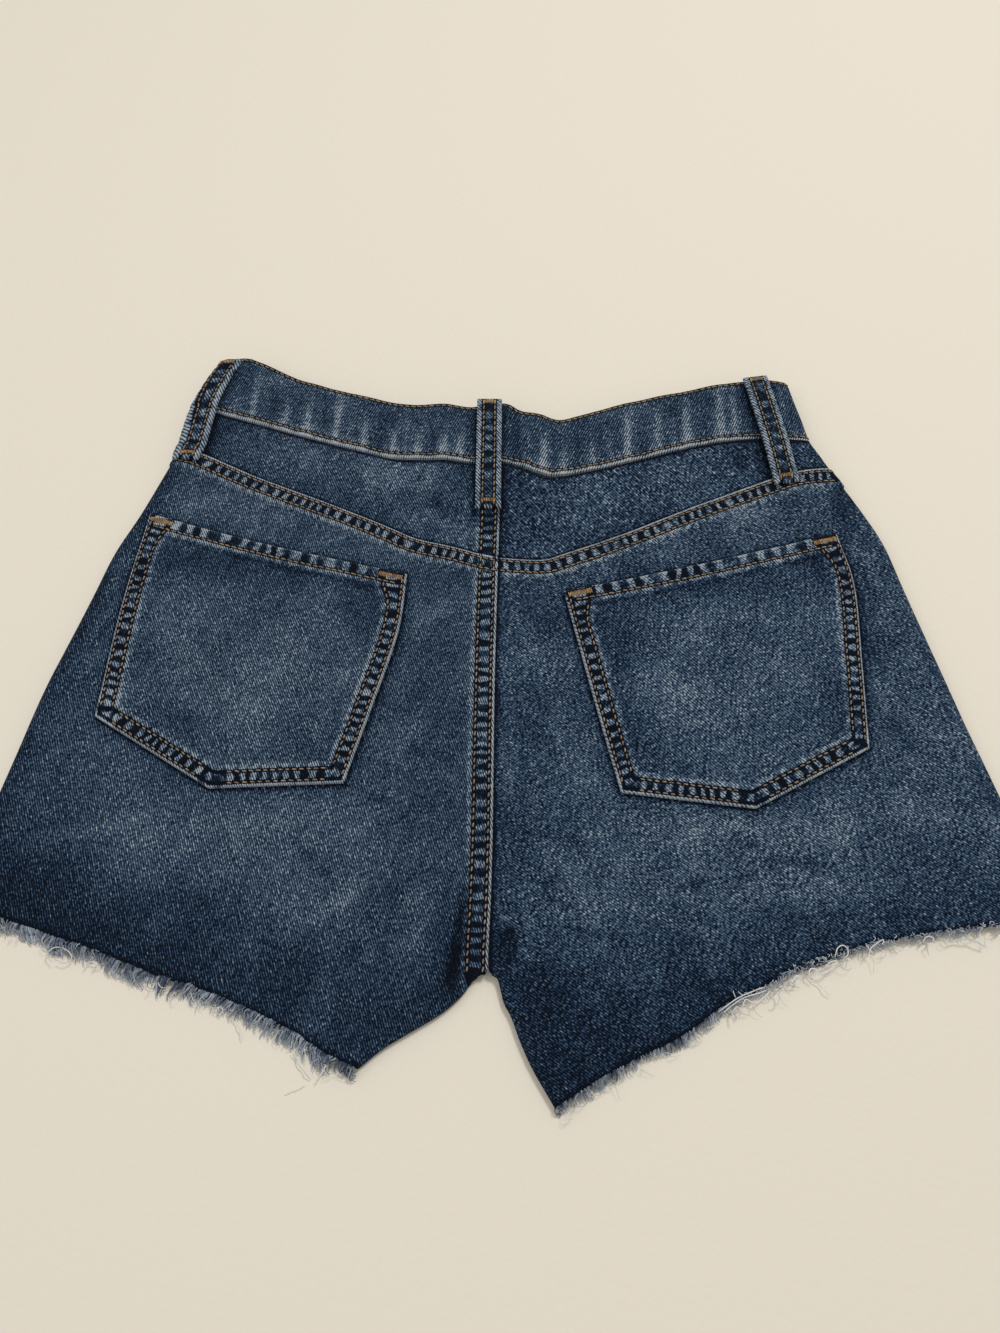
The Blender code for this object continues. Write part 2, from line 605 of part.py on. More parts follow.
def front_panel(sign, name, look):
    """A front panel with its curved pocket mouth; the right one passes under the left at the fly."""
    mouth = pocket_mouth(sign, 0.0)
    fly_x = FLY_EDGE_X if sign < 0 else -FLY_UNDERLAP
    xs = np.linspace(fly_x, POCKET_MOUTH_X[sign], 14)
    along_band = Line([(x, float(front_waist(x, FRONT_BAND_HEIGHT)) - SEAM_GAP) for x in xs], 2)
    fly_top = (fly_x, float(along_band.at(0)[1]))
    beside = 1.4 * SEAM_GAP
    if sign < 0:
        seam = Line([fly_top, (fly_x, 60), (1.6, 30), (0.5 - SEAM_GAP / 2, 3)], 6)
    else:
        seam = Line([fly_top, (fly_x, 160), (fly_x, FLY_BOTTOM + 12),
                     (FLY_EDGE_X + beside, FLY_BOTTOM - 6), (FLY_EDGE_X + beside, 60),
                     (1.6 + beside, 30), (0.5 + SEAM_GAP / 2, 3)], 6)
    centre = joined(seam, part_of(inseam[sign].moved(sign * SEAM_GAP / 2, 0), 0.02, 1))
    outer_edge = part_of(side[sign], nearest_fraction(side[sign], mouth.at(1)), 1)
    top, bottom = joined(along_band, mouth), front_hem(sign)
    v = crotch_rows(stations(260.0, [0], [0], 22), seam, centre)
    leg_turn = smooth((v - seam.length / centre.length + 0.008) / 0.05)
    full = np.ones(len(v))
    if sign < 0:
        u = stations(PANEL_WIDTH, FOLD_INSETS, FOLD_INSETS, 12)
        plan = patch(Line(top.points[::-1], 1), bottom, outer_edge, centre, u, v)
        grids = layer(plan, front_lift, body_middle, DENIM, -1, full, leg_turn)
    else:
        u = stations(PANEL_WIDTH, (*FOLD_INSETS, 12.0, 20.0), FOLD_INSETS, 11)
        plan = patch(top, Line(bottom.points[::-1], 1), centre, outer_edge, u, v)
        above_fly_end = smooth((plan[..., 1] - FLY_BOTTOM + 24) / 12)
        over_left_front = smooth((12.0 - plan[..., 0]) / 7.0)
        grids = layer(plan, front_lift, body_middle, DENIM, -1, leg_turn, full,
                      shift=FLY_LAP * above_fly_end * over_left_front)
    return under_wall(name, grids, look)


def front_hem(sign):
    """Cut edge of the front of a leg: just inside the back's, but it shows below it on the right."""
    points = []
    for x, y in (HEM_LEFT if sign < 0 else HEM_RIGHT):
        show = 3.2 * bump(x - 135, 22) * (sign > 0)
        points.append((x, y + 1.2 - show))
    points[0] = (points[0][0], points[0][1] - 1.0)
    points[-1] = (points[-1][0], points[-1][1] - 1.2)
    return Line(points)


def pocket_facing(sign, name, look):
    """The facing that fills a front pocket's mouth, tucked under the edge of the front panel."""
    end = pocket_mouth(sign, 0).at(1) + (0, 0.4)
    tucked = Line(np.vstack([pocket_mouth(sign, TUCK).at(np.linspace(0, 0.9, 12)), end]), 2)
    band_end = front_seam.at(0 if sign < 0 else 1)
    xs = np.linspace(tucked.at(0)[0], band_end[0], 12)
    along_band = Line([(x, float(front_waist(x, FRONT_BAND_HEIGHT)) - SEAM_GAP) for x in xs], 2)
    edge = part_of(side[sign], nearest_fraction(side[sign], along_band.at(1)),
                   nearest_fraction(side[sign], end))
    near, lower = part_of(tucked, 0.0, 0.5), part_of(tucked, 0.5, 1)
    v = np.linspace(0, 1, 10)
    full = np.ones(len(v))
    if sign < 0:
        u = stations(65.0, FOLD_INSETS, [0], 7)
        plan = patch(Line(along_band.points[::-1], 1), Line(lower.points[::-1], 1), edge, near, u, v)
        turns = full, None
    else:
        u = stations(65.0, [0], FOLD_INSETS, 7)
        plan = patch(along_band, lower, near, edge, u, v)
        turns = None, full
    grids = layer(plan, front_lift, body_middle, FACING, -1, *turns, shift=FACING_LAP)
    return under_wall(name, grids, look)


def band_under(x, y):
    return np.full(np.shape(x), BAND_UNDER)


def waistband_front(sign, name, look):
    """A front waistband; the right one's end passes under the left one's at the centre."""
    end_x = -sign * BAND_OVERLAP
    edge = part_of(side[sign], 0.0, nearest_fraction(side[sign], front_seam.at(0 if sign < 0 else 1)))
    tops = Line([(x, float(front_waist(x))) for x in np.linspace(end_x, edge.at(0)[0], 21)], 2)
    lows = Line([(x, float(front_waist(x, FRONT_BAND_HEIGHT)) + SEAM_GAP / 2)
                 for x in np.linspace(end_x, edge.at(1)[0], 21)], 2)
    end = Line([tops.at(0), lows.at(0)], 2)
    v = np.linspace(0, 1, 4)
    full = np.ones(len(v))
    if sign < 0:
        u = stations(170.0, FOLD_INSETS, [0], 12)
        plan = patch(Line(tops.points[::-1], 1), Line(lows.points[::-1], 1), edge, end, u, v)
        grids = layer(plan, band_under, band_middle, BAND, -1, full, None)
    else:
        u = stations(170.0, (0, 34, 40, 46, 52, 58), FOLD_INSETS, 9)
        plan = patch(tops, lows, end, edge, u, v)
        over_left_end = smooth((40 - plan[..., 0]) / 21)
        grids = layer(plan, band_under, band_middle, BAND, -1, None, full,
                      shift=(BAND + SEAM_GAP) * over_left_end)
    return under_wall(name, grids, look)


def zip_strip(look):
    """The closed zip behind the fly: tapes with the chain along their middle."""
    tape_half, tape, chain_half, chain = 11.0, 0.6, 3.0, 1.3
    x_mid, lower_end, upper_end = -11.0, FLY_BOTTOM + 16, 221.0
    outline = [(-tape_half, 0), (tape_half, 0), (tape_half, tape), (chain_half, tape),
               (chain_half * 0.8, chain), (-chain_half * 0.8, chain), (-chain_half, tape),
               (-tape_half, tape)]
    rows, count = 9, len(outline)
    points, faces = [], []
    for y in np.linspace(lower_end, upper_end, rows):
        z = FLY_LAP + DENIM + SEAM_GAP + 0.1 + float(front_lift(x_mid, y))
        points += [(x_mid + x, y, z + h) for x, h in outline]
    for row in range(rows - 1):
        start = row * count
        for i in range(count):
            j = (i + 1) % count
            faces.append((start + i, start + i + count, start + j + count, start + j))
    faces.append(tuple(range(count)))
    faces.append(tuple(range(len(points) - 1, len(points) - count - 1, -1)))
    return solid("zip", points, faces, look)


def button(look):
    """A shank button, its domed head down, turned about its own axis."""
    x, y = 0.0, float(front_waist(0.0, FRONT_BAND_HEIGHT / 2))
    profile = [(5.5, 0.0), (7.2, 0.2), (BUTTON_RADIUS, 0.8), (BUTTON_RADIUS, 1.2), (7.6, 1.5),
               (3.0, 1.6), (3.0, FRONT_BAND_LIFT)]
    sides = 24
    points = [(x + r * math.cos(2 * math.pi * k / sides), y + r * math.sin(2 * math.pi * k / sides), z)
              for r, z in profile for k in range(sides)]
    faces = [tuple(range(sides - 1, -1, -1)),
             tuple(range((len(profile) - 1) * sides, len(profile) * sides))]
    for ring in range(len(profile) - 1):
        for k in range(sides):
            a, b = ring * sides + k, ring * sides + (k + 1) % sides
            faces.append((a, b, b + sides, a + sides))
    return solid("button", points, faces, look)


# ---------------------------------------------------------------- frayed hems
def fringe(name, line, rest, height, look, seed, outward):
    """A narrow strip of yarn along a cut edge, with tapered four-sided locks combed out of it.

    height gives the underside of the strip, which is never lower than rest."""
    draw = random.Random(seed)
    count = int(line.length / STRAND_PITCH)
    middle = line.at(np.linspace(0.012, 0.988, count + 1))
    tangent = np.gradient(middle, axis=0)
    tangent /= np.hypot(*tangent.T)[:, None]
    normal = np.stack([tangent[:, 1], -tangent[:, 0]], 1) * outward
    near = middle + normal * HEM_PART
    far = near + normal * HEM_STRIP
    low = np.maximum(rest, height(near[:, 0], near[:, 1]))
    points, faces = [], []
    for k in range(count + 1):
        points += [(*near[k], low[k] + YARN), (*near[k], low[k]), (*far[k], low[k]),
                   (*far[k], low[k] + YARN)]
    for k in range(count):
        a, b = 4 * k, 4 * k + 4
        for i in (0, 1, 3):
            faces.append((a + i, a + (i + 1) % 4, b + (i + 1) % 4, b + i))
        root = (a + 2, a + 3, b + 3, b + 2)
        length = STRAND_LENGTH * draw.uniform(0.6, 1.15)
        direction = (normal[k] + normal[k + 1]) / 2 + tangent[k] * draw.uniform(-0.35, 0.35)
        origin = (far[k] + far[k + 1]) / 2
        neck, half = origin + direction * length * 0.3, tangent[k] * YARN * 0.7
        tip_z = max(rest, low[k] * draw.uniform(0.15, 0.75))
        neck_z = low[k] * 0.8 + tip_z * 0.2
        start = len(points)
        points += [(*(neck - half), neck_z), (*(neck - half), neck_z + YARN * 0.75),
                   (*(neck + half), neck_z + YARN * 0.75), (*(neck + half), neck_z)]
        points.append((*(origin + direction * length), tip_z + 0.1))
        for i in range(4):
            j = (i + 1) % 4
            faces.append((root[j], start + j, start + i, root[i]))
            faces.append((start + j, start + 4, start + i))
    faces.append((3, 2, 1, 0))
    last = 4 * count
    faces.append((last, last + 1, last + 2, last + 3))
    if outward > 0:
        faces = [face[::-1] for face in faces]
    return solid(name, points, faces, look)


def on_back(x, y):
    return back_height(x, y) - 1.0


def on_ground(x, y):
    return np.zeros(np.shape(x))


# ---------------------------------------------------------------- the whole
def clear_scene():
    for item in list(bpy.data.objects):
        bpy.data.objects.remove(item, do_unlink=True)


def centre_on_origin(items):
    """Moves the meshes so that the box of the whole stands centred on the origin."""
    corners = np.vstack([[v.co[:] for v in item.data.vertices] for item in items])
    low, high = corners.min(0), corners.max(0)
    shift = ((low[0] + high[0]) / 2, (low[1] + high[1]) / 2, low[2])
    for item in items:
        for vertex in item.data.vertices:
            vertex.co.x -= shift[0]
            vertex.co.y -= shift[1]
            vertex.co.z -= shift[2]


def build():
    clear_scene()
    cloth = material("denim", DENIM_COLOUR, 0.9)
    dark = material("denim_dark", DENIM_DARK, 0.9)
    yarn = material("frayed_yarn", YARN_COLOUR, 0.95)
    brass = material("old_brass", BRASS_COLOUR, 0.4, 1.0)
    items = []
    for sign, which in ((-1, "left"), (1, "right")):
        items.append(back_panel(sign, "back_" + which, cloth))
        items.append(yoke(sign, "yoke_" + which, cloth))
        items.append(pocket(POCKETS[which], "pocket_back_" + which, cloth))
        items.append(front_panel(sign, "front_" + which, cloth))
        items.append(pocket_facing(sign, "pocket_facing_" + which, dark))
        items.append(waistband_front(sign, "waistband_front_" + which, dark))
        items.append(fringe("fringe_back_" + which, hem[sign], 0.25, on_back, yarn, 11 + sign, -sign))
        items.append(fringe("fringe_front_" + which, front_hem(sign), 0.1, on_ground, yarn,
                            21 + sign, -sign))
    items.append(waistband_back(dark))
    for name, (top, bottom, stand_off) in BACK_LOOPS.items():
        items.append(back_loop(name, top, bottom, stand_off, dark))
    items.append(loop_on_fold("loop_back_left", dark))
    for name, x in FRONT_LOOPS.items():
        items.append(front_loop(name, x, dark))
    items.append(zip_strip(brass))
    items.append(button(brass))
    centre_on_origin(items)


build()
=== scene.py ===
"""The looks of a pair of cut-off denim shorts that lie on their front, back side up.

Lengths are in millimetres in the pattern's own axes, as in the model: x to the wearer's right, y towards
the waist with 0 at the crotch, z up with 0 where the front lies. place() turns them into the frame's metres.
"""
import math
from collections import defaultdict

import bpy
import numpy as np
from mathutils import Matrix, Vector


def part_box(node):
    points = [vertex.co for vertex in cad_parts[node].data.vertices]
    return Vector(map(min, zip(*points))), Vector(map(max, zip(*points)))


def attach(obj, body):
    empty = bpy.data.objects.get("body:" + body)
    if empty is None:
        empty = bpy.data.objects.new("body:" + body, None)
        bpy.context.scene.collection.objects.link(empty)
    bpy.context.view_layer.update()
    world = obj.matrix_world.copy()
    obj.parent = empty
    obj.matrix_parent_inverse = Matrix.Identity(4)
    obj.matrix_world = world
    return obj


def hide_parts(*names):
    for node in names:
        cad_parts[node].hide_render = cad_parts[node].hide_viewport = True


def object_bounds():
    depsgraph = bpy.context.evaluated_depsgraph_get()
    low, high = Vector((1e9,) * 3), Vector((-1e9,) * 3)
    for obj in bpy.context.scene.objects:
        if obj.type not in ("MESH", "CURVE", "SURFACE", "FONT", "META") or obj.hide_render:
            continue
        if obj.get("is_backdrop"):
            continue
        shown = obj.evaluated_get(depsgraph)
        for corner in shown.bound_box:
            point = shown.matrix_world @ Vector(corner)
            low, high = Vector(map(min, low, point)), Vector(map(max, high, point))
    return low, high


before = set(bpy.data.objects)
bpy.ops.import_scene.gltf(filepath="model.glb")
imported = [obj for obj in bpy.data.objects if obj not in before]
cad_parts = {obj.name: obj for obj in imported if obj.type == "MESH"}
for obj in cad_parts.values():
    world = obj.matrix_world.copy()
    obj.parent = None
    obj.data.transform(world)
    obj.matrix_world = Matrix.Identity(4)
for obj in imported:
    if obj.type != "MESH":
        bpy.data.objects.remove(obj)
cad_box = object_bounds()

MM = 0.001
SIDES = ((-1, "left"), (1, "right"))

# ---------------------------------------------------------------- sizes of the model
DENIM = 1.2
BAND = 2.2
LOOP = 1.8
POCKET = 1.3
FACING = 1.0
SEAM_GAP = 0.3
BACK_REST = 3.1
FRONT_BAND_LIFT = 2.1
BAND_UNDER = 2.4
FLY_LAP = 1.75
FACING_LAP = 1.85
FOLD_REACH = 3.2
FELL_WIDTH = 9.0
FELL_RAISE = 0.9
FLY_EDGE_X = 2.6
FLY_BOTTOM = 104.0
FLY_UNDERLAP = 8.0
BAND_OVERLAP = 18.0
TUCK = 10.0
LOOP_WIDTH = 11.6
BUTTON_RADIUS = 8.5
FRONT_WAIST_DIP = 35.0
FRONT_BAND_HEIGHT = 34.0
BAND_END_LEFT = (-0.32, -0.88)      # where the waistband's ends go for each millimetre down
BAND_END_RIGHT = (0.2, -1.06)
POCKET_MOUTH_X = {-1: -92.0, 1: 96.0}
POCKET_MOUTH_Y = 176.0
POCKET_RAISE = 0.5
BACK_BAND = 8.3
OVERLAP_RISE = 2.3
FLY_MIDDLE_X = -5.0
BUTTON_END_Y = 224.0
TRIM = 0.0008             # gap at a seam's end, as a share of the side's length

# the camera that took the photograph, and the photograph's size and focal length in its own pixels
CAMERA = (5.218, -50.986, 417.0)
TILT = 24.0
FOCAL = 1000.7
PHOTO_WIDTH, PHOTO_HEIGHT = 1000, 1333

# outlines of the model, as (x, y) from the left, sides and seams from the waist down
SIDE_LEFT = [
    (-137, 305), (-143, 291), (-148, 276), (-151.5, 263), (-155, 251), (-160.5, 236), (-168.5, 214),
    (-178, 192), (-184, 171), (-190, 150), (-198.5, 121), (-205, 92), (-212, 62), (-221, 28)]
SIDE_RIGHT = [
    (153, 290), (155, 279), (157.5, 267), (160, 254), (165, 244), (170.5, 234), (176, 224),
    (182, 212), (189, 195), (194.5, 171), (199.5, 150), (206.5, 121), (211, 102), (216, 83), (232, 21)]
WAIST_TOP = [
    (-137, 305), (-126, 306), (-118, 303), (-97, 292), (-76, 285), (-56, 279.5), (-40, 275.5),
    (-25, 275.5), (-10, 273), (0, 275), (9, 275), (17, 270), (26, 268.5), (35, 266), (45, 269),
    (56, 273), (76, 279), (97, 284), (117, 289), (140, 292), (153, 290)]
WAIST_BOTTOM = [
    (-148, 275), (-138, 271.5), (-115, 264), (-94, 257), (-74, 251), (-55, 245.5), (-44, 243),
    (-24, 242), (-9, 239.5), (5, 240), (15, 237.5), (24, 233.5), (35, 233), (60, 239), (85, 246),
    (105, 251.5), (120, 254), (137, 255), (159.5, 253.5)]
YOKE_SEAM = [
    (-155, 251), (-141, 247), (-110, 232), (-57, 210), (-33, 199), (-14, 193), (4.5, 188),
    (24, 188), (37, 192), (70, 204.5), (102, 218), (140, 233), (155, 237), (168.5, 238)]
CENTRE_BACK = [
    (5.5, 239), (5.2, 214), (4.5, 188), (4, 170), (3, 124), (2.3, 60), (1.6, 30), (0.8, 12), (0.5, -1)]
INSEAM_LEFT = [
    (0.5, -1), (-4, -1.4), (-6.9, -5.6), (-11, -10.4), (-18.5, -16.4), (-30, -23), (-40, -28.8),
    (-49.3, -36)]
INSEAM_RIGHT = [
    (0.5, -1), (3.6, -1.6), (5.2, -6.5), (6.6, -12), (9.4, -17), (12.8, -26), (17.5, -36), (26, -50)]
HEM_LEFT = [
    (-221, 28), (-198, 21), (-173, 13), (-149, 5), (-130, -2), (-114, -6.5), (-97, -13),
    (-77, -22), (-62, -30.5), (-49.3, -36)]
HEM_RIGHT = [
    (232, 21), (208, 18), (188, 16), (158, 11), (138, 6), (121, 0), (108, -7), (92, -14),
    (75, -25), (59, -32), (43, -40), (26, -50)]
POCKETS = {
    "left": {"top": [(-163, 212), (-101, 194), (-38.5, 180)],
             "left": [(-163, 212), (-169.6, 165), (-173.5, 108.5)],
             "right": [(-38.5, 180), (-41.5, 150), (-52, 112), (-62, 78)],
             "point": (-119.5, 75.5)},
    "right": {"top": [(35, 171), (100, 184.8), (165.8, 201.3)],
              "left": [(35, 171), (47, 117), (57, 73.8)],
              "right": [(165.8, 201.3), (170.8, 174), (168.8, 135), (166, 93.5)],
              "point": (114, 66.7)}}

# what the back rises over: height, reach
SWELLS = {
    "side_fold": (2.6, 21),
    "inseam": (2.0, 13),
    "waistband": (4.3, 27),
    "fly": (3.4, 27),
    "button_end": (6.2, 34),
    "pocket_mouth": (2.4, 56)}
MOUTH_MIDDLE = (3.0, 120.0, 216.0, 50.0)      # x between the two, from there to each, y, reach in y

# ridges (+) and troughs (-) of the model: from x and y, to x and y, reach to each side, height
FOLDS = [
    (-16, 26, -24, -8, 5.0, 1.3), (-9, 24, -13, -2, 2.6, -0.8), (13, 30, 9, 4, 4.0, 1.2),
    (-70, 60, -170, 30, 12.0, 0.7), (40, 40, 130, 4, 12.0, 0.8), (60, 55, 190, 50, 14.0, 0.6),
    (-30, 60, -60, -10, 10.0, 0.6), (172, 170, 196, 90, 9.0, 0.5), (60, 222, 120, 240, 6.0, 0.5),
    (-100, 246, -50, 226, 6.0, 0.5)]

# pleat-like waves of the gathered waistband: x, half width, height
BAND_WAVES = [
    (-112, 8, 0.5), (-88, 7, 0.6), (-64, 8, 0.5), (-41, 6, 0.7), (-20, 6, 0.5), (22, 6, 0.9),
    (44, 7, 0.6), (66, 7, 0.5), (88, 8, 0.6), (112, 7, 0.4)]

# belt loops on the back: middle of the strip's top end, of its bottom end, how far it stands off
BACK_LOOPS = {
    "loop_back_centre": ((0, 276.5), (-0.5, 213), 0.5),
    "loop_back_right": ((135.5, 292.5), (145, 229), 1.5)}
SIDE_LOOP = {"top": 303.5, "bottom": 243.0, "stand_off": 1.1, "lean": 3.6}
FRONT_LOOPS = {"loop_front_left": -78.0, "loop_front_right": 80.0}

# ---------------------------------------------------------------- sizes of the finish
PUCKER = 5.2              # spacing of the puckers along a sewn row
GROOVE = 0.22             # how deep a row of stitches sinks in
STITCH = 3.1              # pitch of the stitches
LONG_STITCH = 2.4         # how much of each stitch shows
SHORT_STITCH = 1.85
THREAD = 0.37             # radius of the sewing thread
THREAD_SINK = 0.05        # how deep a bar tack lies in the loop's face
BAR_PITCH = 0.66          # spacing of the wraps of a bar tack
TWILL = 0.96              # pitch of the twill lines
LOOP_SHOWN = 12.4         # width of a belt loop with its rounded edges
LOOP_ROW = 2.75           # distance of a belt loop's rows of stitches from its middle
LOOP_PUCKER = 7.6         # spacing of the puckers along a belt loop
POCKET_ROWS = (1.75, 6.8)
POCKET_HEM_ROW = 6.0
ROW_BEND = (4.8, 19.0)    # how far a pocket's inner row bends inwards at its top, over this length
MOUTH_ROWS = (2.0, 8.0)
FLY_STITCH_X = -33.0      # where the curved rows of the fly leave the waistband
FRINGE_PITCH = 0.42
FRINGE_LENGTH = 5.6
YARN_POINTS = 9           # points along a frayed yarn

# nominal sizes of the pieces, for spacing their points, and the spacing
PANEL_WIDTH = 175.0
PANEL_LENGTH = 210.0
FRONT_LENGTH = 260.0
YOKE_DEPTH = 44.0
BAND_LENGTH = 290.0
BAND_DEPTH = 34.0
FRONT_BAND_LENGTH = 170.0
FACING_WIDTH = 65.0
POCKET_SIZE = (122.0, 104.0)
BACK_STEP = 1.3
FRONT_STEP = 2.4

# direction of the twill on each piece, in degrees, and how close together its lines lie
GRAIN = {"back": {-1: 19, 1: 56}, "yoke": {-1: 26, 1: 46}, "pocket": {"left": 24, "right": 46},
         "band": -24, "front": {-1: 20, 1: -20}, "front_band": {-1: -30, 1: 30}, "loop": 38}
CLOSENESS = {"yoke": {-1: 0.92, 1: 0.83}, "pocket": {"left": 1.0, "right": 0.87}, "band": 0.86, "loop": 0.8}

# how strongly creases and wrinkles darken (painted shade in their troughs) or fade (wear on their ridges) the
# cloth, and how much higher wrinkles stand
CREASE_TONE = 0.28
WRINKLE_TONE = 0.55
WRINKLE_RISE = 0.6
RIPPLE_TONE = 1.8
RIPPLE_LEAN = 2           # how far the waistband's ripples lean to the right on their way up

# small creases of the cloth on the back, written as in FOLDS
CREASES = [
    (-6, 22, -14, -3, 1.6, -0.5), (8, 18, 4, 3, 1.5, -0.5), (-22, 30, -34, 4, 4.0, 0.5),
    (18, 34, 14, 2, 3.0, 0.45), (28, 50, 46, 22, 5.0, 0.35), (50, 30, 96, 12, 3.5, 0.35),
    (66, 48, 128, 42, 3.0, -0.3), (96, 30, 170, 34, 4.5, 0.3), (120, 14, 176, 22, 3.5, -0.25),
    (176, 70, 206, 58, 3.0, 0.3), (180, 110, 204, 96, 3.5, 0.3), (174, 140, 197, 150, 3.0, -0.25),
    (172, 205, 184, 168, 3.0, 0.35), (12, 160, 30, 120, 3.5, 0.3), (14, 110, 34, 84, 3.0, -0.25),
    (-14, 170, -34, 150, 3.0, 0.3), (-12, 120, -42, 90, 3.5, 0.3), (-20, 74, -54, 52, 4.0, -0.3),
    (-44, 40, -84, 12, 4.0, 0.35), (-70, 62, -116, 60, 3.0, 0.3), (-96, 30, -150, 26, 4.5, -0.3),
    (-150, 62, -196, 50, 4.0, 0.35), (-180, 96, -200, 84, 3.0, 0.3), (-176, 130, -190, 118, 2.6, -0.25),
    (-172, 196, -177, 160, 2.6, 0.35), (-60, 20, -66, -18, 3.5, 0.3), (-110, 18, -124, 0, 3.0, 0.25),
    (70, 6, 62, -20, 3.0, 0.3), (150, 40, 158, 18, 3.0, 0.25), (18, 232, 34, 222, 2.2, 0.5),
    (12, 226, 22, 204, 2.2, -0.3), (44, 236, 62, 216, 3.2, 0.3), (84, 244, 100, 230, 2.6, 0.3),
    (118, 250, 126, 236, 2.4, -0.3), (-26, 240, -34, 222, 2.6, 0.3), (-60, 242, -56, 222, 3.0, 0.25),
    (-88, 252, -84, 238, 2.6, 0.3), (-120, 264, -116, 250, 2.6, -0.3), (10, 200, 40, 206, 3.0, -0.25),
    (-12, 204, -46, 214, 3.0, 0.25), (-110, 214, -84, 206, 3.0, 0.25), (110, 206, 140, 216, 3.0, 0.3)]

# fine sharp wrinkles of the back, the same way
WRINKLES = [
    (15.6, 57.6, 28.4, 54.3, 1.1, -0.3), (35, 52.6, 49, 50.5, 1.2, -0.3),
    (118, 44.8, 132, 44.2, 1.2, -0.35), (129, 44.4, 144, 42.2, 1.1, -0.35),
    (126, 37.6, 145, 35.2, 1.0, 0.3), (121, 20.4, 146, 22.8, 0.9, -0.35), (66, 40.9, 82, 43, 1.0, -0.25),
    (80, 33, 92, 36.6, 1.6, -0.4), (96, 36.2, 110, 38.7, 1.2, -0.3), (106, 52.4, 115, 48.6, 1.5, -0.4),
    (27, 18.2, 44, 14.7, 0.9, -0.35), (43, 14.9, 59, 11, 1.2, -0.3), (22, 29.8, 37, 24.9, 1.2, -0.35),
    (21, 34.8, 29, 36, 1.6, -0.4), (153, 57.4, 164, 53.2, 1.2, -0.3), (152, 49, 165, 51.5, 1.0, -0.25),
    (4.5, 22, 9.5, 19, 1.3, 0.6), (9.5, 19, 11, 9, 1.5, -0.4), (11, 9, 6.6, 1, 1.3, -0.35),
    (12.4, 10.6, 20, 3.2, 1.1, 0.35), (-8.4, 48, -9.2, 29, 1.1, -0.5), (-9.4, 31, -11, 16, 1.9, -0.75),
    (-11, 18, -14.2, 0, 2.6, -0.75), (-14, 4, -15, -8, 3.6, -0.6), (-79, 49.4, -71.6, 45, 1.5, -0.3),
    (-67.4, 55, -62, 63, 1.3, -0.3), (-70.4, 43, -63.6, 36.4, 1.2, -0.25), (-35, 97, -27.6, 90, 1.6, -0.35),
    (-23, 90.6, -14, 86.2, 1.5, -0.3), (-44, 35.4, -31, 31, 1.3, -0.25), (-92, 13.6, -84.6, 9, 1.5, -0.3),
    (-56.4, 7.4, -51.4, 10, 1.6, -0.3), (-113.4, 21.4, -105.4, 17, 1.5, -0.3),
    (-54, 73.4, -40, 68.6, 2.2, -0.3), (-35.4, 24.6, -25, 35.6, 2.6, 0.3), (-62, 24, -54, 32, 2.2, 0.25),
    (-28, 222, -22, 214, 2.0, -0.4), (174, 186, 180, 166, 1.6, -0.4), (172, 150, 177, 134, 1.6, -0.3),
    (184, 128, 192, 120, 1.3, -0.25), (176, 104, 186, 106, 1.2, -0.25), (-120, 236, -112, 229, 1.8, -0.3)]

# small creases of the patch pockets, the same way
POCKET_CREASES = [
    (-140, 196, -120, 188, 2.6, 0.3), (-70, 182, -56, 160, 2.6, 0.3), (-150, 150, -128, 132, 5.0, 0.25),
    (-100, 160, -80, 120, 7.0, 0.25), (-140, 112, -118, 96, 4.0, -0.2), (-84, 108, -64, 92, 4.0, 0.25),
    (48, 162, 66, 150, 2.8, 0.35), (130, 188, 150, 172, 3.0, 0.35), (120, 182, 156, 176, 2.0, -0.25),
    (70, 130, 100, 110, 6.0, 0.25), (120, 140, 150, 120, 6.0, 0.25), (70, 90, 92, 78, 4.0, -0.2),
    (130, 96, 152, 104, 4.0, 0.25)]

# narrow upright ripples of the waistband: x, half width, height, paleness, how far up they reach
BAND_RIPPLES = [
    (-128, 2.4, 0.20, 0.05, 0.9), (-119, 2.0, 0.30, 0.16, 0.8), (-109, 1.8, -0.15, -0.08, 0.6),
    (-102, 1.8, 0.32, 0.18, 0.55), (-91, 2.2, 0.30, 0.22, 0.7), (-83, 1.6, -0.2, -0.06, 0.8),
    (-76, 2.0, 0.35, 0.22, 1.0), (-69, 1.4, 0.2, 0.12, 0.5), (-62, 2.2, 0.3, 0.2, 0.55),
    (-54, 1.8, -0.2, -0.06, 0.7), (-47, 2.2, 0.35, 0.2, 0.5), (-41, 1.5, 0.2, 0.08, 0.8),
    (-35, 2.2, 0.35, 0.2, 0.45), (-28, 1.6, -0.2, -0.08, 0.6), (-22, 1.8, 0.3, 0.2, 0.5),
    (-14, 2.0, 0.3, 0.18, 0.5), (13, 2.0, -0.3, -0.1, 0.9), (20, 2.0, 0.35, 0.06, 0.9),
    (27, 2.4, 0.4, 0.24, 0.6), (37, 2.0, 0.3, 0.2, 0.4), (44, 1.6, -0.2, -0.06, 0.7),
    (51, 2.2, 0.35, 0.2, 0.45), (60, 1.6, 0.2, 0.08, 0.6), (69, 2.2, 0.35, 0.22, 0.8),
    (77, 1.6, -0.2, -0.06, 0.5), (84, 2.0, 0.3, 0.2, 0.7), (92, 1.6, 0.2, 0.08, 0.4),
    (99, 2.4, 0.35, 0.24, 0.8), (108, 1.6, -0.2, -0.04, 0.6), (116, 2.6, 0.3, 0.22, 0.9),
    (123, 1.8, 0.25, 0.18, 0.8), (147, 2.2, 0.3, 0.14, 0.7)]
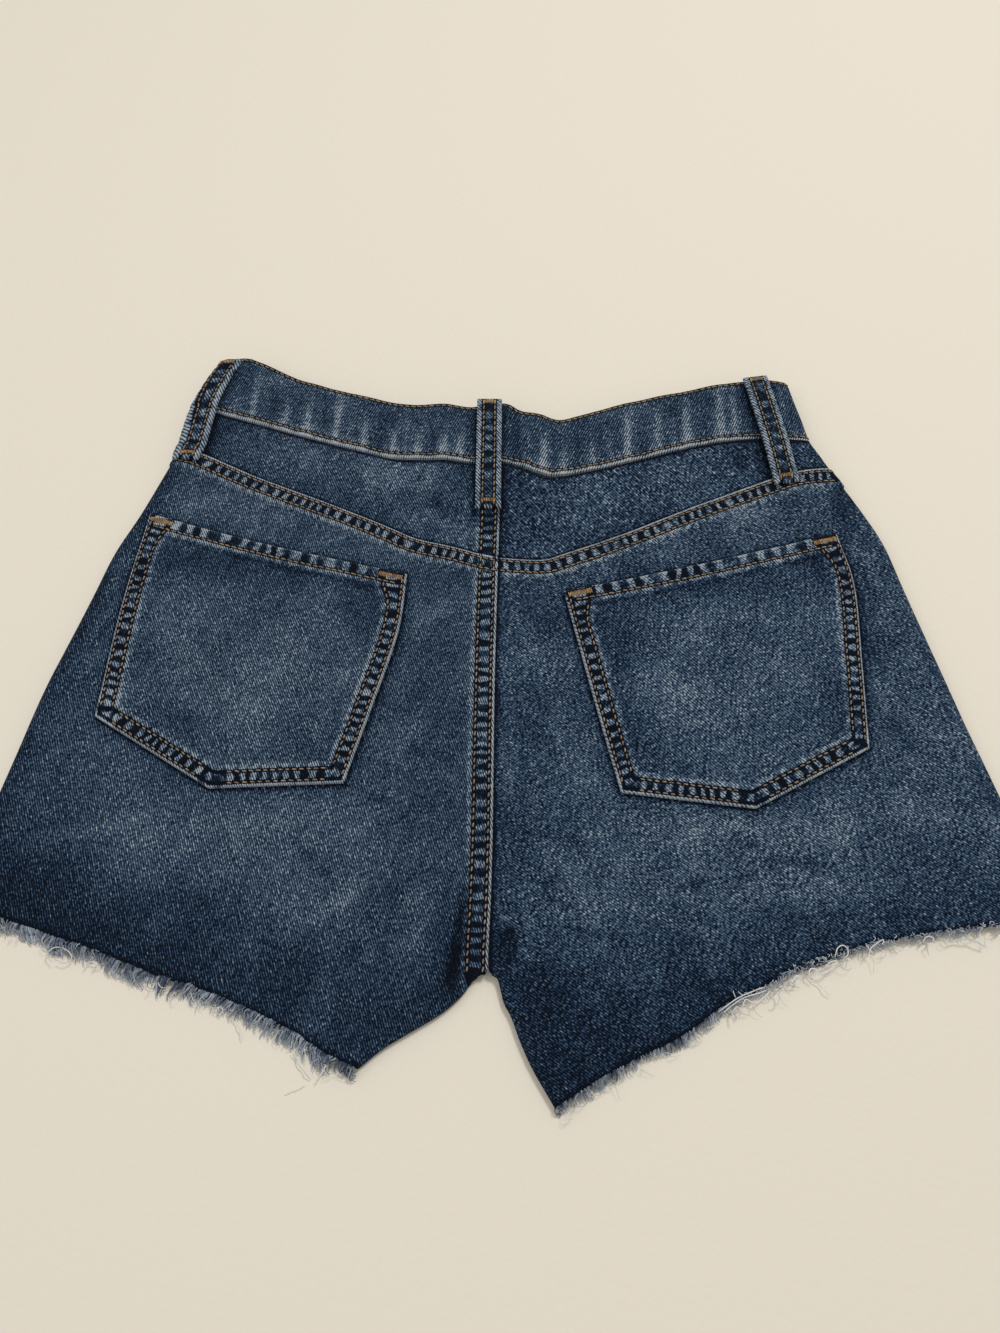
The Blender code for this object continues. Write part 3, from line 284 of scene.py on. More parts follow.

# worn (+) and dark (-) places of the back, the dark ones beside the belt loops, along the right hip's side
# and on the lower left leg being painted shade: x, y, reach in x, reach in y, amount
WEAR_AND_SHADE = [
    (-95, 52, 60, 22, 0.07), (105, 44, 66, 26, 0.09), (-150, 60, 34, 26, 0.02), (175, 90, 20, 50, 0.05),
    (0, 6, 34, 44, -0.14), (-40, -8, 40, 22, -0.08), (34, -26, 34, 26, -0.12), (90, -20, 60, 24, -0.06),
    (-24, 120, 13, 60, -0.07), (22, 130, 12, 44, -0.06), (-180, 110, 14, 60, -0.04),
    (-60, 236, 60, 14, 0.04), (70, 224, 50, 16, -0.03), (-198, 40, 36, 30, -0.16),
    (-150, 16, 60, 20, -0.10), (-90, 0, 50, 18, -0.05), (90, 2, 60, 14, -0.06), (12, 232, 12, 9, -0.16),
    (128, 248, 16, 10, -0.18), (-138, 262, 12, 10, -0.18), (30, 200, 26, 6, -0.08),
    (-100, 232, 60, 7, -0.04), (-125, 222, 34, 6, 0.05), (120, 214, 34, 6, 0.05), (-10, 226, 8, 16, -0.06),
    (9, 214, 6, 16, -0.06), (172, 222, 7, 26, -0.22), (150, 220, 10, 7, -0.08), (100, 60, 50, 5, 0.08),
    (-20, 190, 16, 7, 0.08), (100, 222, 40, 5, 0.06)]
# worn (+) and dark (-) places of the patch pockets, the same way; some dark ones are painted shade of the
# pockets' folds
POCKET_WEAR_AND_SHADE = [
    (-108, 128, 46, 34, 0.09), (-104, 186, 60, 8, -0.14), (-58, 164, 12, 16, -0.14),
    (-84, 178, 30, 8, -0.08), (-152, 190, 14, 12, -0.14), (-158, 150, 7, 30, -0.06),
    (-150, 100, 14, 12, -0.06), (-66, 110, 10, 26, -0.05), (104, 124, 46, 34, 0.06),
    (100, 173, 62, 8, -0.14), (54, 152, 12, 16, -0.16), (60, 120, 8, 30, -0.06), (156, 186, 12, 9, -0.26),
    (158, 112, 9, 12, -0.1), (58, 92, 8, 14, -0.12), (158, 130, 6, 30, -0.05), (72, 88, 16, 10, -0.06),
    (140, 100, 18, 8, -0.04)]


# ---------------------------------------------------------------- curves
class Line:
    """A smooth line through a few points, read by its fraction of length or by its x or y."""

    def __init__(self, points, fineness=16):
        p = np.array(points, float)
        ends = np.vstack([2 * p[0] - p[1], p, 2 * p[-1] - p[-2]])
        fine = [p[0]]
        for a, b, c, d in zip(ends, ends[1:], ends[2:], ends[3:]):
            for t in np.arange(1, fineness + 1) / fineness:
                fine.append(0.5 * (2 * b + (c - a) * t + (2 * a - 5 * b + 4 * c - d) * t**2
                                   + (3 * b - a - 3 * c + d) * t**3))
        self.points = np.array(fine)
        steps = np.hypot(*np.diff(self.points, axis=0).T)
        self.length = steps.sum()
        self.fractions = np.concatenate([[0], np.cumsum(steps)]) / self.length

    def at(self, fraction):
        f = np.clip(fraction, 0, 1)
        return np.stack([np.interp(f, self.fractions, self.points[:, k]) for k in (0, 1)], -1)

    def x_at(self, y):
        order = np.argsort(self.points[:, 1])
        return np.interp(y, self.points[order, 1], self.points[order, 0])

    def y_at(self, x):
        order = np.argsort(self.points[:, 0])
        return np.interp(x, self.points[order, 0], self.points[order, 1])

    def distance(self, x, y):
        p = self.points[::3]
        x, y = np.asarray(x, float), np.asarray(y, float)
        return np.sqrt(np.min((x[..., None] - p[:, 0])**2 + (y[..., None] - p[:, 1])**2, -1))

    def moved(self, dx, dy):
        copy = object.__new__(Line)
        copy.points = self.points + (dx, dy)
        copy.length, copy.fractions = self.length, self.fractions
        return copy

    def offset(self, distance):
        """The line moved sideways, to the right of its own direction."""
        along = np.gradient(self.points, axis=0)
        along /= np.hypot(*along.T)[:, None]
        distance = np.broadcast_to(distance, len(along))[:, None]
        return Line(self.points + distance * np.stack([along[:, 1], -along[:, 0]], 1), 1)

    def nearest(self, x, y):
        """Length along the line to the point nearest to each place, and the distance from it, positive
        on the right of the line's direction."""
        p = self.at(np.linspace(0, 1, max(24, int(self.length / 3))))
        start, step = p[:-1], np.diff(p, axis=0)
        size = np.hypot(*step.T)
        travelled = np.concatenate([[0], np.cumsum(size)[:-1]])
        shape = np.shape(x)
        spots = np.stack([np.ravel(x), np.ravel(y)], 1)
        along, away = np.empty(len(spots)), np.empty(len(spots))
        for first in range(0, len(spots), 4000):
            some = spots[first:first + 4000, None, :] - start
            t = np.clip((some * step).sum(2) / size**2, 0, 1)
            off = some - t[..., None] * step
            gap = (off**2).sum(2)
            k = gap.argmin(1)
            rows = np.arange(len(k))
            turn = step[k, 1] * some[rows, k, 0] - step[k, 0] * some[rows, k, 1]
            along[first:first + 4000] = travelled[k] + t[rows, k] * size[k]
            away[first:first + 4000] = np.sqrt(gap[rows, k]) * np.where(turn >= 0, 1, -1)
        return along.reshape(shape), away.reshape(shape)


def part_of(line, start, end):
    """The stretch of a line between two fractions of its length, as a line."""
    return Line(line.at(np.linspace(start, end, 24)), 2)


def rightward(line):
    """The line read from left to right."""
    return line if line.points[0, 0] < line.points[-1, 0] else Line(line.points[::-1], 1)


def in_order(sign, outer, inner):
    """An outer and an inner edge from left to right, for the left (-1) or the right (1) side."""
    return (outer, inner) if sign < 0 else (inner, outer)


def joined(*lines):
    points = np.vstack([line.points for line in lines])
    keep = np.r_[True, np.hypot(*np.diff(points, axis=0).T) > 1e-6]
    return Line(points[keep], 1)


side = {-1: Line(SIDE_LEFT), 1: Line(SIDE_RIGHT)}
waist_top = Line(WAIST_TOP)
waist_bottom = Line(WAIST_BOTTOM)
yoke_seam = Line(YOKE_SEAM)
centre_back = Line(CENTRE_BACK)
inseam = {-1: Line(INSEAM_LEFT), 1: Line(INSEAM_RIGHT)}
hem = {-1: Line(HEM_LEFT), 1: Line(HEM_RIGHT)}


def front_waist(x, drop=0.0):
    """Height y of the front waistband's upper edge, or of a line a given drop below it."""
    left = np.array(SIDE_LEFT[0]) + drop * np.array(BAND_END_LEFT)
    right = np.array(SIDE_RIGHT[0]) + drop * np.array(BAND_END_RIGHT)
    t = np.clip((np.asarray(x, float) - left[0]) / (right[0] - left[0]), 0, 1)
    sag = FRONT_WAIST_DIP * (1 - np.abs(2 * t - 1)**2.2)
    return left[1] + (right[1] - left[1]) * t - sag


button_low, button_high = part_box("button")
SHIFT = np.array([-(button_low[0] + button_high[0]) / 2 / MM,
                  float(front_waist(0, FRONT_BAND_HEIGHT / 2)) - (button_low[1] + button_high[1]) / 2 / MM,
                  0.0])


def place(points):
    """Points of the pattern, in millimetres, as points of the frame, in metres."""
    return (np.asarray(points, float) - SHIFT) * MM


# ---------------------------------------------------------------- heights
def smooth(t):
    t = np.clip(t, 0, 1)
    return t * t * (3 - 2 * t)


def bump(distance, reach, power=2.0):
    return np.exp(-(np.abs(distance) / reach)**power)


def rounding(distance, radius):
    """How much a quarter-round edge lies lower, as a share of its depth, at a distance from the edge."""
    return 1 - np.sqrt(1 - (1 - np.clip(distance / radius, 0, 1))**2)


def unit(vectors):
    return vectors / np.linalg.norm(vectors, axis=-1)[..., None]


def segment_distance(x, y, start, end):
    """Distance to a segment, and the fraction along it of the nearest point."""
    (x0, y0), (x1, y1) = start, end
    length = math.hypot(x1 - x0, y1 - y0)
    t = np.clip(((x - x0) * (x1 - x0) + (y - y0) * (y1 - y0)) / length**2, 0, 1)
    return np.hypot(x - x0 - t * (x1 - x0), y - y0 - t * (y1 - y0)), t


def ridges(x, y, table):
    """Height of a table's ridges and troughs, which fade towards their ends."""
    total = np.zeros(np.shape(x))
    for x0, y0, x1, y1, width, height in table:
        d, t = segment_distance(x, y, (x0, y0), (x1, y1))
        total += height * bump(d, width) * (0.35 + 0.65 * np.sin(math.pi * t))
    return total


def crease_wear_and_shade(x, y):
    """How the creases and wrinkles of the back show in its colour: paler with wear on their ridges, darker with
    painted shade in their troughs.
    """
    return CREASE_TONE * ridges(x, y, CREASES) + WRINKLE_TONE * ridges(x, y, WRINKLES)


def side_gap(x, y):
    """Distance in x to the nearer side of the silhouette."""
    return np.minimum(x - side[-1].x_at(y), side[1].x_at(y) - x)


def swell(name, distance, power=2.0):
    height, reach = SWELLS[name]
    return height * bump(distance, reach, power)


def back_height(x, y):
    """Outer face of the back in the model."""
    x, y = np.asarray(x, float), np.asarray(y, float)
    legs = np.minimum(inseam[-1].distance(x, y), inseam[1].distance(x, y))
    between_mouths, mouth_x, mouth_y, mouth_reach = MOUTH_MIDDLE
    swells = [
        swell("side_fold", side_gap(x, y)),
        swell("inseam", legs),
        swell("waistband", np.maximum(waist_bottom.y_at(x) - y, 0)),
        swell("fly", x - FLY_MIDDLE_X, 4) * smooth((y - FLY_BOTTOM + 40) / 24),
        swell("button_end", x, 4) * bump(np.maximum(BUTTON_END_Y - y, 0), 18),
        swell("pocket_mouth", np.abs(x - between_mouths) - mouth_x, 4) * bump(y - mouth_y, mouth_reach, 4)]
    pile = sum(s**3 for s in swells)**(1 / 3)
    ripple = 0.18 * (1 + np.sin(x / 19 + 1.3 * np.sin(y / 41))) * (1 + np.sin(y / 23 + x / 57))
    return BACK_REST + pile + np.maximum(ridges(x, y, FOLDS), -0.6) + ripple


def drape(x, y):
    """Outer face of the back with its small creases."""
    fine = 0.1 * np.sin(x / 7.3 + 2 * np.sin(y / 11)) * np.sin(y / 8.9 + 1.4 * np.sin(x / 13))
    return back_height(x, y) + ridges(x, y, CREASES) + WRINKLE_RISE * ridges(x, y, WRINKLES) + fine


def pocket_lie(x, y):
    """Outer face of a patch pocket."""
    return drape(x, y) + ridges(x, y, POCKET_CREASES) + SEAM_GAP + POCKET


def front_lift(x, y):
    """Outer face of the front layer: flat on the ground, rising to meet its waistband."""
    below_band = front_waist(x, FRONT_BAND_HEIGHT) - y
    return FRONT_BAND_LIFT * smooth(1 - below_band / 28)


def band_height(x):
    """Outer face of the back waistband in the model."""
    x = np.asarray(x, float)
    waves = sum(h * bump(x - at, width) for at, width, h in BAND_WAVES)
    return BACK_BAND + OVERLAP_RISE * bump(x, 2 * BAND_OVERLAP, 4) + waves


def up_the_band(x, y):
    """How far up the waistband a place lies, 0 at its seam and 1 at its upper edge."""
    low = waist_bottom.y_at(x)
    return np.clip((y - low) / (waist_top.y_at(x) - low), 0, 1)


def band_lie(x, y):
    """Outer face of the back waistband with its narrow ripples."""
    share = up_the_band(x, y)
    lean = RIPPLE_LEAN * (share - 0.5)
    ripples = sum(height * bump(x - at - lean, width) * (1 - 0.8 * smooth(share / top - 0.5))
                  for at, width, height, _, top in BAND_RIPPLES)
    return band_height(x) + ripples


def felled(x, y):
    """Raise of the felled yoke and centre-back seams."""
    below_yoke = yoke_seam.y_at(x) - y
    left_of_centre = centre_back.x_at(y) - x
    reach = FELL_WIDTH + 2
    under_yoke = (below_yoke > -1) & (below_yoke < reach)
    on_centre = (left_of_centre > -1) & (left_of_centre < reach)
    return FELL_RAISE * (under_yoke | on_centre)


def skin(x, y):
    """Top of the back in the model, waistband and felled seams included."""
    on_band = np.asarray(y) > waist_bottom.y_at(x) - SEAM_GAP
    return np.where(on_band, band_height(x), back_height(x, y) + felled(x, y))


# where the two layers meet at a folded side
def body_middle(x, y):
    return (back_height(x, y) + front_lift(x, y)) / 2


def band_middle(x, y):
    return (band_height(x) + BAND_UNDER) / 2


def band_under(x, y):
    return np.full(np.shape(x), BAND_UNDER)


# ---------------------------------------------------------------- sewn edges
FAR = 9.0                 # distance and lane away from every row of stitches


class Seam:
    """A sewn edge of a piece of cloth.

    side is 1 where the piece lies right of the line's direction and -1 where it lies left; rows gives
    the distances of the rows of stitches, the first None where there is one row; rise and width are of
    the turned-in cloth; between and beyond say how strongly its ladder of puckers shows between the
    rows and past them, reach how far past them, and pale how worn its edge is."""

    def __init__(self, line, side, rows, rise=0.0, width=FELL_WIDTH, between=1.0, beyond=0.85, reach=4.5,
                 pucker=0.16, pale=0.66, pale_width=1.3, bend=None, seed=0.0, pitch=PUCKER):
        self.line, self.side, self.rows, self.bend = line, side, rows, bend
        self.rise, self.width, self.reach, self.pucker = rise, width, reach, pucker
        self.between, self.beyond, self.pale, self.pale_width = between, beyond, pale, pale_width
        self.seed, self.pitch = seed, pitch

    def bent(self, along):
        """How much further in the second row lies, near the start of the seam."""
        return self.bend[0] * (1 - smooth(along / self.bend[1])) if self.bend else 0.0

    def read(self, x, y):
        """Length along the seam and distance from its edge, measured as where its rows run parallel."""
        along, away = self.line.nearest(x, y)
        away = away * self.side
        if self.bend:
            first, second = self.rows
            squeeze = (second - first) / (second - first + self.bent(along))
            away = np.where(away > first, first + (away - first) * squeeze, away)
        return along, away

    def row(self, order):
        """The line of one of its rows of stitches."""
        distance = self.rows[order] + (self.bent(self.line.fractions * self.line.length) if order else 0.0)
        return self.line.offset(self.side * distance)

    def beat(self, along):
        """Number of puckers up to a length along the seam, unevenly spaced."""
        return (along / self.pitch + 0.2 * np.sin(along / 6.1 + self.seed)
                + 0.3 * np.sin(along / 14.7 + 2.3 * self.seed))

    def raised(self, away):
        return (self.rise * (0.3 + 0.7 * smooth(away / 0.9)) * (1 - smooth((away - self.width) / 1.6))
                * (away > -0.5))

    def relief(self, along, away):
        """Puckers and grooves."""
        first, second = self.rows
        fade = np.where(away < second, self.between, self.beyond * (1 - smooth((away - second) / self.reach)))
        start = smooth((away - (first or 0)) / 1.2)
        total = self.pucker * np.sin(2 * math.pi * self.beat(along)) * fade * start * (away > 0)
        for row in self.rows:
            if row is not None:
                total = total - GROOVE * bump(away - row, 0.45)
        return total

    def row_gap(self, away):
        """Distance from its nearer row of stitches."""
        rows = [row for row in self.rows if row is not None and row > 1]
        return np.min([np.abs(away - row) for row in rows], 0, initial=FAR)

    def lane(self, away):
        """1 at the first row, 2 at the second one, 3 where the puckers end."""
        first, second = self.rows
        if first is None:
            inner = 1.3 + 0.7 * away / second
        else:
            inner = np.where(away < first, away / first, 1 + (away - first) / (second - first))
        return np.where(away < second, inner, 2 + (away - second) / self.reach)

    def strength(self, away):
        first, second = self.rows
        inner = self.between * smooth((away - (first or 0)) / 0.5 + 0.3)
        outer = self.beyond * (1 - smooth((away - second) / self.reach))
        return np.where(away < second, inner, outer) * (away > -0.3)

    def worn(self, away):
        edge = bump(np.maximum(away, 0), self.pale_width, 3) * (away > -0.4)
        past = bump(away - self.rows[1] - 2.1, 1.1) * (self.rows[1] > 1)
        return self.pale * edge + 0.22 * self.beyond * past


def sewn(x, y, seams):
    """Relief of a piece's seams, and what the material needs: puckers counted, lane and strength of the
    strongest seam near each point, how worn it is, and its distance from a row of stitches."""
    raised, relief, worn = (np.zeros(x.shape) for _ in range(3))
    row = np.full(x.shape, FAR)
    marks = np.dstack([np.zeros(x.shape), row, np.zeros(x.shape)])
    owner = np.zeros(x.shape, int)
    for order, seam in enumerate(seams):
        along, away = seam.read(x, y)
        row = np.minimum(row, seam.row_gap(away))
        raised = np.maximum(raised, seam.raised(away))
        relief += seam.relief(along, away)
        worn = np.maximum(worn, seam.worn(away))
        strength = seam.strength(away)
        stronger = strength > marks[..., 2]
        marks[stronger] = np.dstack([seam.beat(along) + 40 * seam.seed, seam.lane(away), strength])[stronger]
        owner[stronger] = order + 1
    if min(x.shape) > 1:      # no puckers where the seam that owns them changes
        for axis in (0, 1):
            change = np.diff(owner, axis=axis) != 0
            ends = [(0, 0), (0, 0)]
            for before in ((1, 0), (0, 1)):
                ends[axis] = before
                marks[..., 2][np.pad(change, ends)] = 0
    return raised + relief, marks, worn, row


def wear_and_shade(x, y, table):
    """Paleness of a table's worn places and darkness of its dark ones, some of which are painted shade."""
    return sum(amount * bump(x - at_x, reach_x) * bump(y - at_y, reach_y)
               for at_x, at_y, reach_x, reach_y, amount in table)


# ---------------------------------------------------------------- meshes
def weave(x, y, grain, seed, closer=1.0):
    """Coordinates of the cloth in millimetres, the first one across its twill lines, which lie closer
    together by a factor."""
    c, s = math.cos(math.radians(grain)), math.sin(math.radians(grain))
    return np.dstack([closer * (x * c + y * s) + 61.7 * seed, y * c - x * s - 47.3 * seed,
                      np.full(np.shape(x), seed)])


def mesh_object(name, points, faces, looks, uses=None):
    """A named object from points in millimetres; uses gives each face's material."""
    mesh = bpy.data.meshes.new(name)
    mesh.from_pydata(place(points).tolist(), [], faces)
    for look in looks:
        mesh.materials.append(look)
    if uses is not None:
        mesh.polygons.foreach_set("material_index", uses)
    mesh.shade_smooth()
    item = bpy.data.objects.new(name, mesh)
    bpy.context.scene.collection.objects.link(item)
    return item


def add_attribute(item, name, kind, values):
    layer = item.data.attributes.new(name, kind, "POINT")
    key = "vector" if kind == "FLOAT_VECTOR" else "value"
    layer.data.foreach_set(key, np.asarray(values, np.float32).ravel())


def cut_size(plan):
    """Greatest width and length and the area of a piece cut to a plan, in metres."""
    x, y = np.concatenate([plan[0], plan[1:, -1], plan[-1, -2::-1], plan[-2:0:-1, 0]]).T
    area = abs(np.dot(x, np.roll(y, -1)) - np.dot(y, np.roll(x, -1))) / 2
    width, length = (np.linalg.norm(np.diff(plan, axis=axis), axis=2).sum(axis).max() for axis in (1, 0))
    return width * MM, length * MM, area * MM**2


cuts = {}                 # flat width, length and area of each piece of cloth


class Grids:
    """Outer and inner grids of points of a layer of cloth with what its material needs."""

    def __init__(self, outer, inner, marks, tone, row, cloth, cut):
        self.outer, self.inner, self.marks = outer, inner, marks
        self.tone, self.row, self.cloth, self.cut = tone, row, cloth, cut

    def flipped(self):
        """The same read the other way across, for a layer seen from below."""
        grids = (self.outer, self.inner, self.marks, self.tone, self.row, self.cloth)
        return Grids(*(g[:, ::-1] for g in grids), self.cut)


def wall(name, grids, looks, raw_edges=""):
    """A closed wall between the two grids. Its inner side has the second look, and so have the rims
    named in raw_edges: t, b, l and r for top, bottom, left and right."""
    rows, cols = grids.outer.shape[:2]
    half = rows * cols
    index = np.arange(half).reshape(rows, cols)
    a, b, d, e = index[:-1, :-1], index[:-1, 1:], index[1:, :-1], index[1:, 1:]
    faces = np.stack([a, d, e, b], -1).reshape(-1, 4)
    under = np.stack([a, b, e, d], -1).reshape(-1, 4) + half
    rims = {"t": index[0, :], "r": index[:, -1], "b": index[-1, ::-1], "l": index[::-1, 0]}
    rim_faces, rim_uses = [], []
    for edge in "trbl":
        loop = rims[edge]
        rim_faces.append(np.stack([loop[:-1], loop[1:], loop[1:] + half, loop[:-1] + half], -1))
        rim_uses += [int(edge in raw_edges)] * (len(loop) - 1)
    every = np.vstack([faces, under] + rim_faces)
    uses = np.concatenate([np.zeros(len(faces), int), np.ones(len(under), int), rim_uses]).astype(np.int32)
    points = np.vstack([grids.outer.reshape(-1, 3), grids.inner.reshape(-1, 3)])
    item = mesh_object(name, points, every.tolist(), looks, uses)
    cuts[name] = grids.cut
    item.data.set_sharp_from_angle(angle=math.radians(55))
    for attribute, kind, values in (("seam", "FLOAT_VECTOR", grids.marks), ("tone", "FLOAT", grids.tone),
                                    ("row", "FLOAT", grids.row), ("weave", "FLOAT_VECTOR", grids.cloth)):
        add_attribute(item, attribute, kind, np.concatenate([values, values]))
    return item


def patch(top, bottom, left, right, u, v):
    """Plan points of a four-sided patch of cloth between its edges, read at fractions u and v."""
    u, v = np.asarray(u)[None, :, None], np.asarray(v)[:, None, None]
    t, b = top.at(u[..., 0]), bottom.at(u[..., 0])
    l, r = left.at(v[..., 0]), right.at(v[..., 0])
    corners = ((1 - u) * (1 - v) * top.at(0) + u * (1 - v) * top.at(1)
               + (1 - u) * v * bottom.at(0) + u * v * bottom.at(1))
    return (1 - v) * t + v * b + (1 - u) * l + u * r - corners


# rows of points close together along an edge: how far in from it they lie
FOLD_ANGLES = (90, 76, 62, 49, 36, 24, 12, 0)
FOLD_INSETS = tuple(FOLD_REACH * (1 - math.sin(math.radians(a))) for a in FOLD_ANGLES)
SEWN_INSETS = tuple(np.arange(0, 11.6, 0.5))
RAW_INSETS = (0, 0.4, 0.9, 1.6)
YOKE_INSETS = (0, 0.5, 1, 1.6)
RIM_INSETS = (0, 0.25, 0.6, 1.0, 1.4, 1.8, 2.3, 2.8, 3.4)


def stations(length, start, end, step):
    """Fractions across a piece with rows at given insets from both edges and even ones between."""
    first = [inset / length for inset in start]
    last = [1 - inset / length for inset in reversed(end)]
    count = max(1, round((last[0] - first[-1]) * length / step))
    return np.array(first + list(np.linspace(first[-1], last[0], count + 1)[1:-1]) + last)


def layer(plan, face, middle, thickness, up, grain, left=None, right=None, seams=(), shift=0.0, table=(),
          level=0.0, seed=0, closer=1.0):
    """Grids of a layer of cloth whose outer face looks up (1) or down (-1).

    left and right say for each row how far that edge turns, 0 to 1, to meet the other layer at the
    middle; an edge with None stays flat. table holds its worn places and places of painted shade, and level
    its overall paleness."""
    x, y = plan[..., 0], plan[..., 1]
    relief, marks, worn, row = sewn(x, y, seams)
    if up < 0:
        relief = np.minimum(2 * relief, 0)
    z = face(x, y) + shift
    outer = np.dstack([plan, z + up * relief])
    inner = np.dstack([plan, z - up * thickness])
    meeting = middle(x, y) + up * SEAM_GAP / 2 if middle else None
    for turn, edge, step in ((left, 0, 1), (right, plan.shape[1] - 1, -1)):
        if turn is None:
            continue
        inset = edge + step * (len(FOLD_ANGLES) - 1)
        out = plan[:, edge] - plan[:, inset]
        out = out / np.hypot(out[:, 0], out[:, 1])[:, None]
        for k, angle in enumerate(FOLD_ANGLES[:-1]):
            column = edge + step * k
            a = math.radians(angle)
            level_z = z[:, column] * (1 - turn) + z[:, inset] * turn
            here = level_z + (meeting[:, inset] - level_z) * turn * (1 - math.cos(a))
            proud = relief[:, column] * (1 - turn) + relief[:, inset] * turn
            sideways, upward = np.sin(turn * a), np.cos(turn * a)
            outer[:, column, :2] = plan[:, column] + out * (proud * sideways)[:, None]
            outer[:, column, 2] = here + up * proud * upward
            inner[:, column, :2] = plan[:, column] - out * (thickness * sideways)[:, None]
            inner[:, column, 2] = here - up * thickness * upward
    tone = level + worn + (wear_and_shade(x, y, table) if table else 0)
    return Grids(outer, inner, marks, tone, row, weave(x, y, grain, seed, closer), cut_size(plan))


def crossing(line, other):
    """Fraction along a line where it comes nearest to another."""
    fractions = np.linspace(0, 1, 400)
    points = line.at(fractions)
    return fractions[np.argmin(other.distance(points[:, 0], points[:, 1]))]


def nearest_fraction(line, point):
    return crossing(line, Line([point, point + (0, -0.5)], 1))


def half_of(line, sign, shift):
    """The left (-1) or right (1) half of a line across the back, moved up by a shift."""
    split = crossing(line, centre_back)
    return part_of(line.moved(0, shift), *((0, split) if sign < 0 else (split, 1)))


def seam_edge(line, sign, start, end):
    """The edge of the left or right cloth along a stretch of a seam between them."""
    return part_of(line.moved(sign * SEAM_GAP / 2, 0), start, end)


# ---------------------------------------------------------------- materials
def linear(red, green, blue):
    """A colour given as 0 to 255 on a screen, as the shader takes it."""
    return tuple(((c / 255 + 0.055) / 1.055)**2.4 if c > 10 else c / 255 / 12.92
                 for c in (red, green, blue)) + (1.0,)


class Nodes:
    """A material and short ways to add its nodes."""

    def __init__(self, name):
        self.material = bpy.data.materials.new(name)
        self.material.use_nodes = True
        self.tree = self.material.node_tree
        self.shader = self.tree.nodes["Principled BSDF"]

    def link(self, source, target):
        self.tree.links.new(source, target)

    def put(self, socket, value):
        if isinstance(value, bpy.types.NodeSocket):
            self.link(value, socket)
        elif value is not None:
            socket.default_value = value

    def attribute(self, name, output="Vector"):
        node = self.tree.nodes.new("ShaderNodeAttribute")
        node.attribute_name = name
        return node.outputs[output]

    def math(self, operation, a, b=None, c=None):
        node = self.tree.nodes.new("ShaderNodeMath")
        node.operation = operation
        for socket, value in zip(node.inputs, (a, b, c)):
            self.put(socket, value)
        return node.outputs[0]

    def times(self, a, b):
        return self.math("MULTIPLY", a, b)

    def total(self, *terms):
        result = terms[0]
        for term in terms[1:]:
            result = self.math("ADD", result, term)
        return result

    def parts(self, vector):
        node = self.tree.nodes.new("ShaderNodeSeparateXYZ")
        self.link(vector, node.inputs[0])
        return node.outputs

    def step(self, value, low, high, to_low=0.0, to_high=1.0):
        node = self.tree.nodes.new("ShaderNodeMapRange")
        node.interpolation_type = "SMOOTHSTEP"
        for socket, number in zip(node.inputs[:5], (value, low, high, to_low, to_high)):
            self.put(socket, number)
        return node.outputs[0]

    def turned(self, vector, angle, scale):
        node = self.tree.nodes.new("ShaderNodeMapping")
        node.vector_type = "POINT"
        self.link(vector, node.inputs["Vector"])
        node.inputs["Rotation"].default_value = (0, 0, math.radians(angle))
        after = self.tree.nodes.new("ShaderNodeVectorMath")
        after.operation = "MULTIPLY"
        self.link(node.outputs[0], after.inputs[0])
        after.inputs[1].default_value = (scale[0], scale[1], 1)
        return after.outputs[0]

    def noise(self, vector, scale, detail=2.0, roughness=0.5, about_zero=True):
        node = self.tree.nodes.new("ShaderNodeTexNoise")
        self.put(node.inputs["Vector"], vector)
        node.inputs["Scale"].default_value = scale
        node.inputs["Detail"].default_value = detail
        node.inputs["Roughness"].default_value = roughness
        value = node.outputs[0]
        return self.math("SUBTRACT", value, 0.5) if about_zero else value

    def object_place(self):
        """Place on the object, in millimetres."""
        node = self.tree.nodes.new("ShaderNodeTexCoord")
        after = self.tree.nodes.new("ShaderNodeVectorMath")
        after.operation = "SCALE"
        self.link(node.outputs["Object"], after.inputs[0])
        after.inputs["Scale"].default_value = 1 / MM
        return after.outputs[0]

    def ramp(self, value, stops):
        node = self.tree.nodes.new("ShaderNodeValToRGB")
        elements = node.color_ramp.elements
        while len(elements) < len(stops):
            elements.new(0.5)
        for element, (position, colour) in zip(elements, stops):
            element.position = position
            element.color = linear(*colour)
        self.link(value, node.inputs[0])
        return node.outputs[0]

    def bump(self, height, distance, strength=1.0):
        node = self.tree.nodes.new("ShaderNodeBump")
        self.link(height, node.inputs["Height"])
        node.inputs["Distance"].default_value = distance * MM
        node.inputs["Strength"].default_value = strength
        self.link(node.outputs[0], self.shader.inputs["Normal"])

    def finish(self, colour=None, **values):
        if colour is not None:
            self.put(self.shader.inputs["Base Color"], colour)
        for name, value in values.items():
            self.put(self.shader.inputs[name.replace("_", " ").title().replace("Ior", "IOR")], value)
        return self.material


INDIGO = [(0.0, (3, 8, 19)), (0.2, (12, 28, 48)), (0.36, (28, 48, 71)), (0.54, (54, 74, 94)),
          (0.72, (82, 99, 116)), (0.88, (111, 124, 136)), (1.0, (160, 167, 172))]


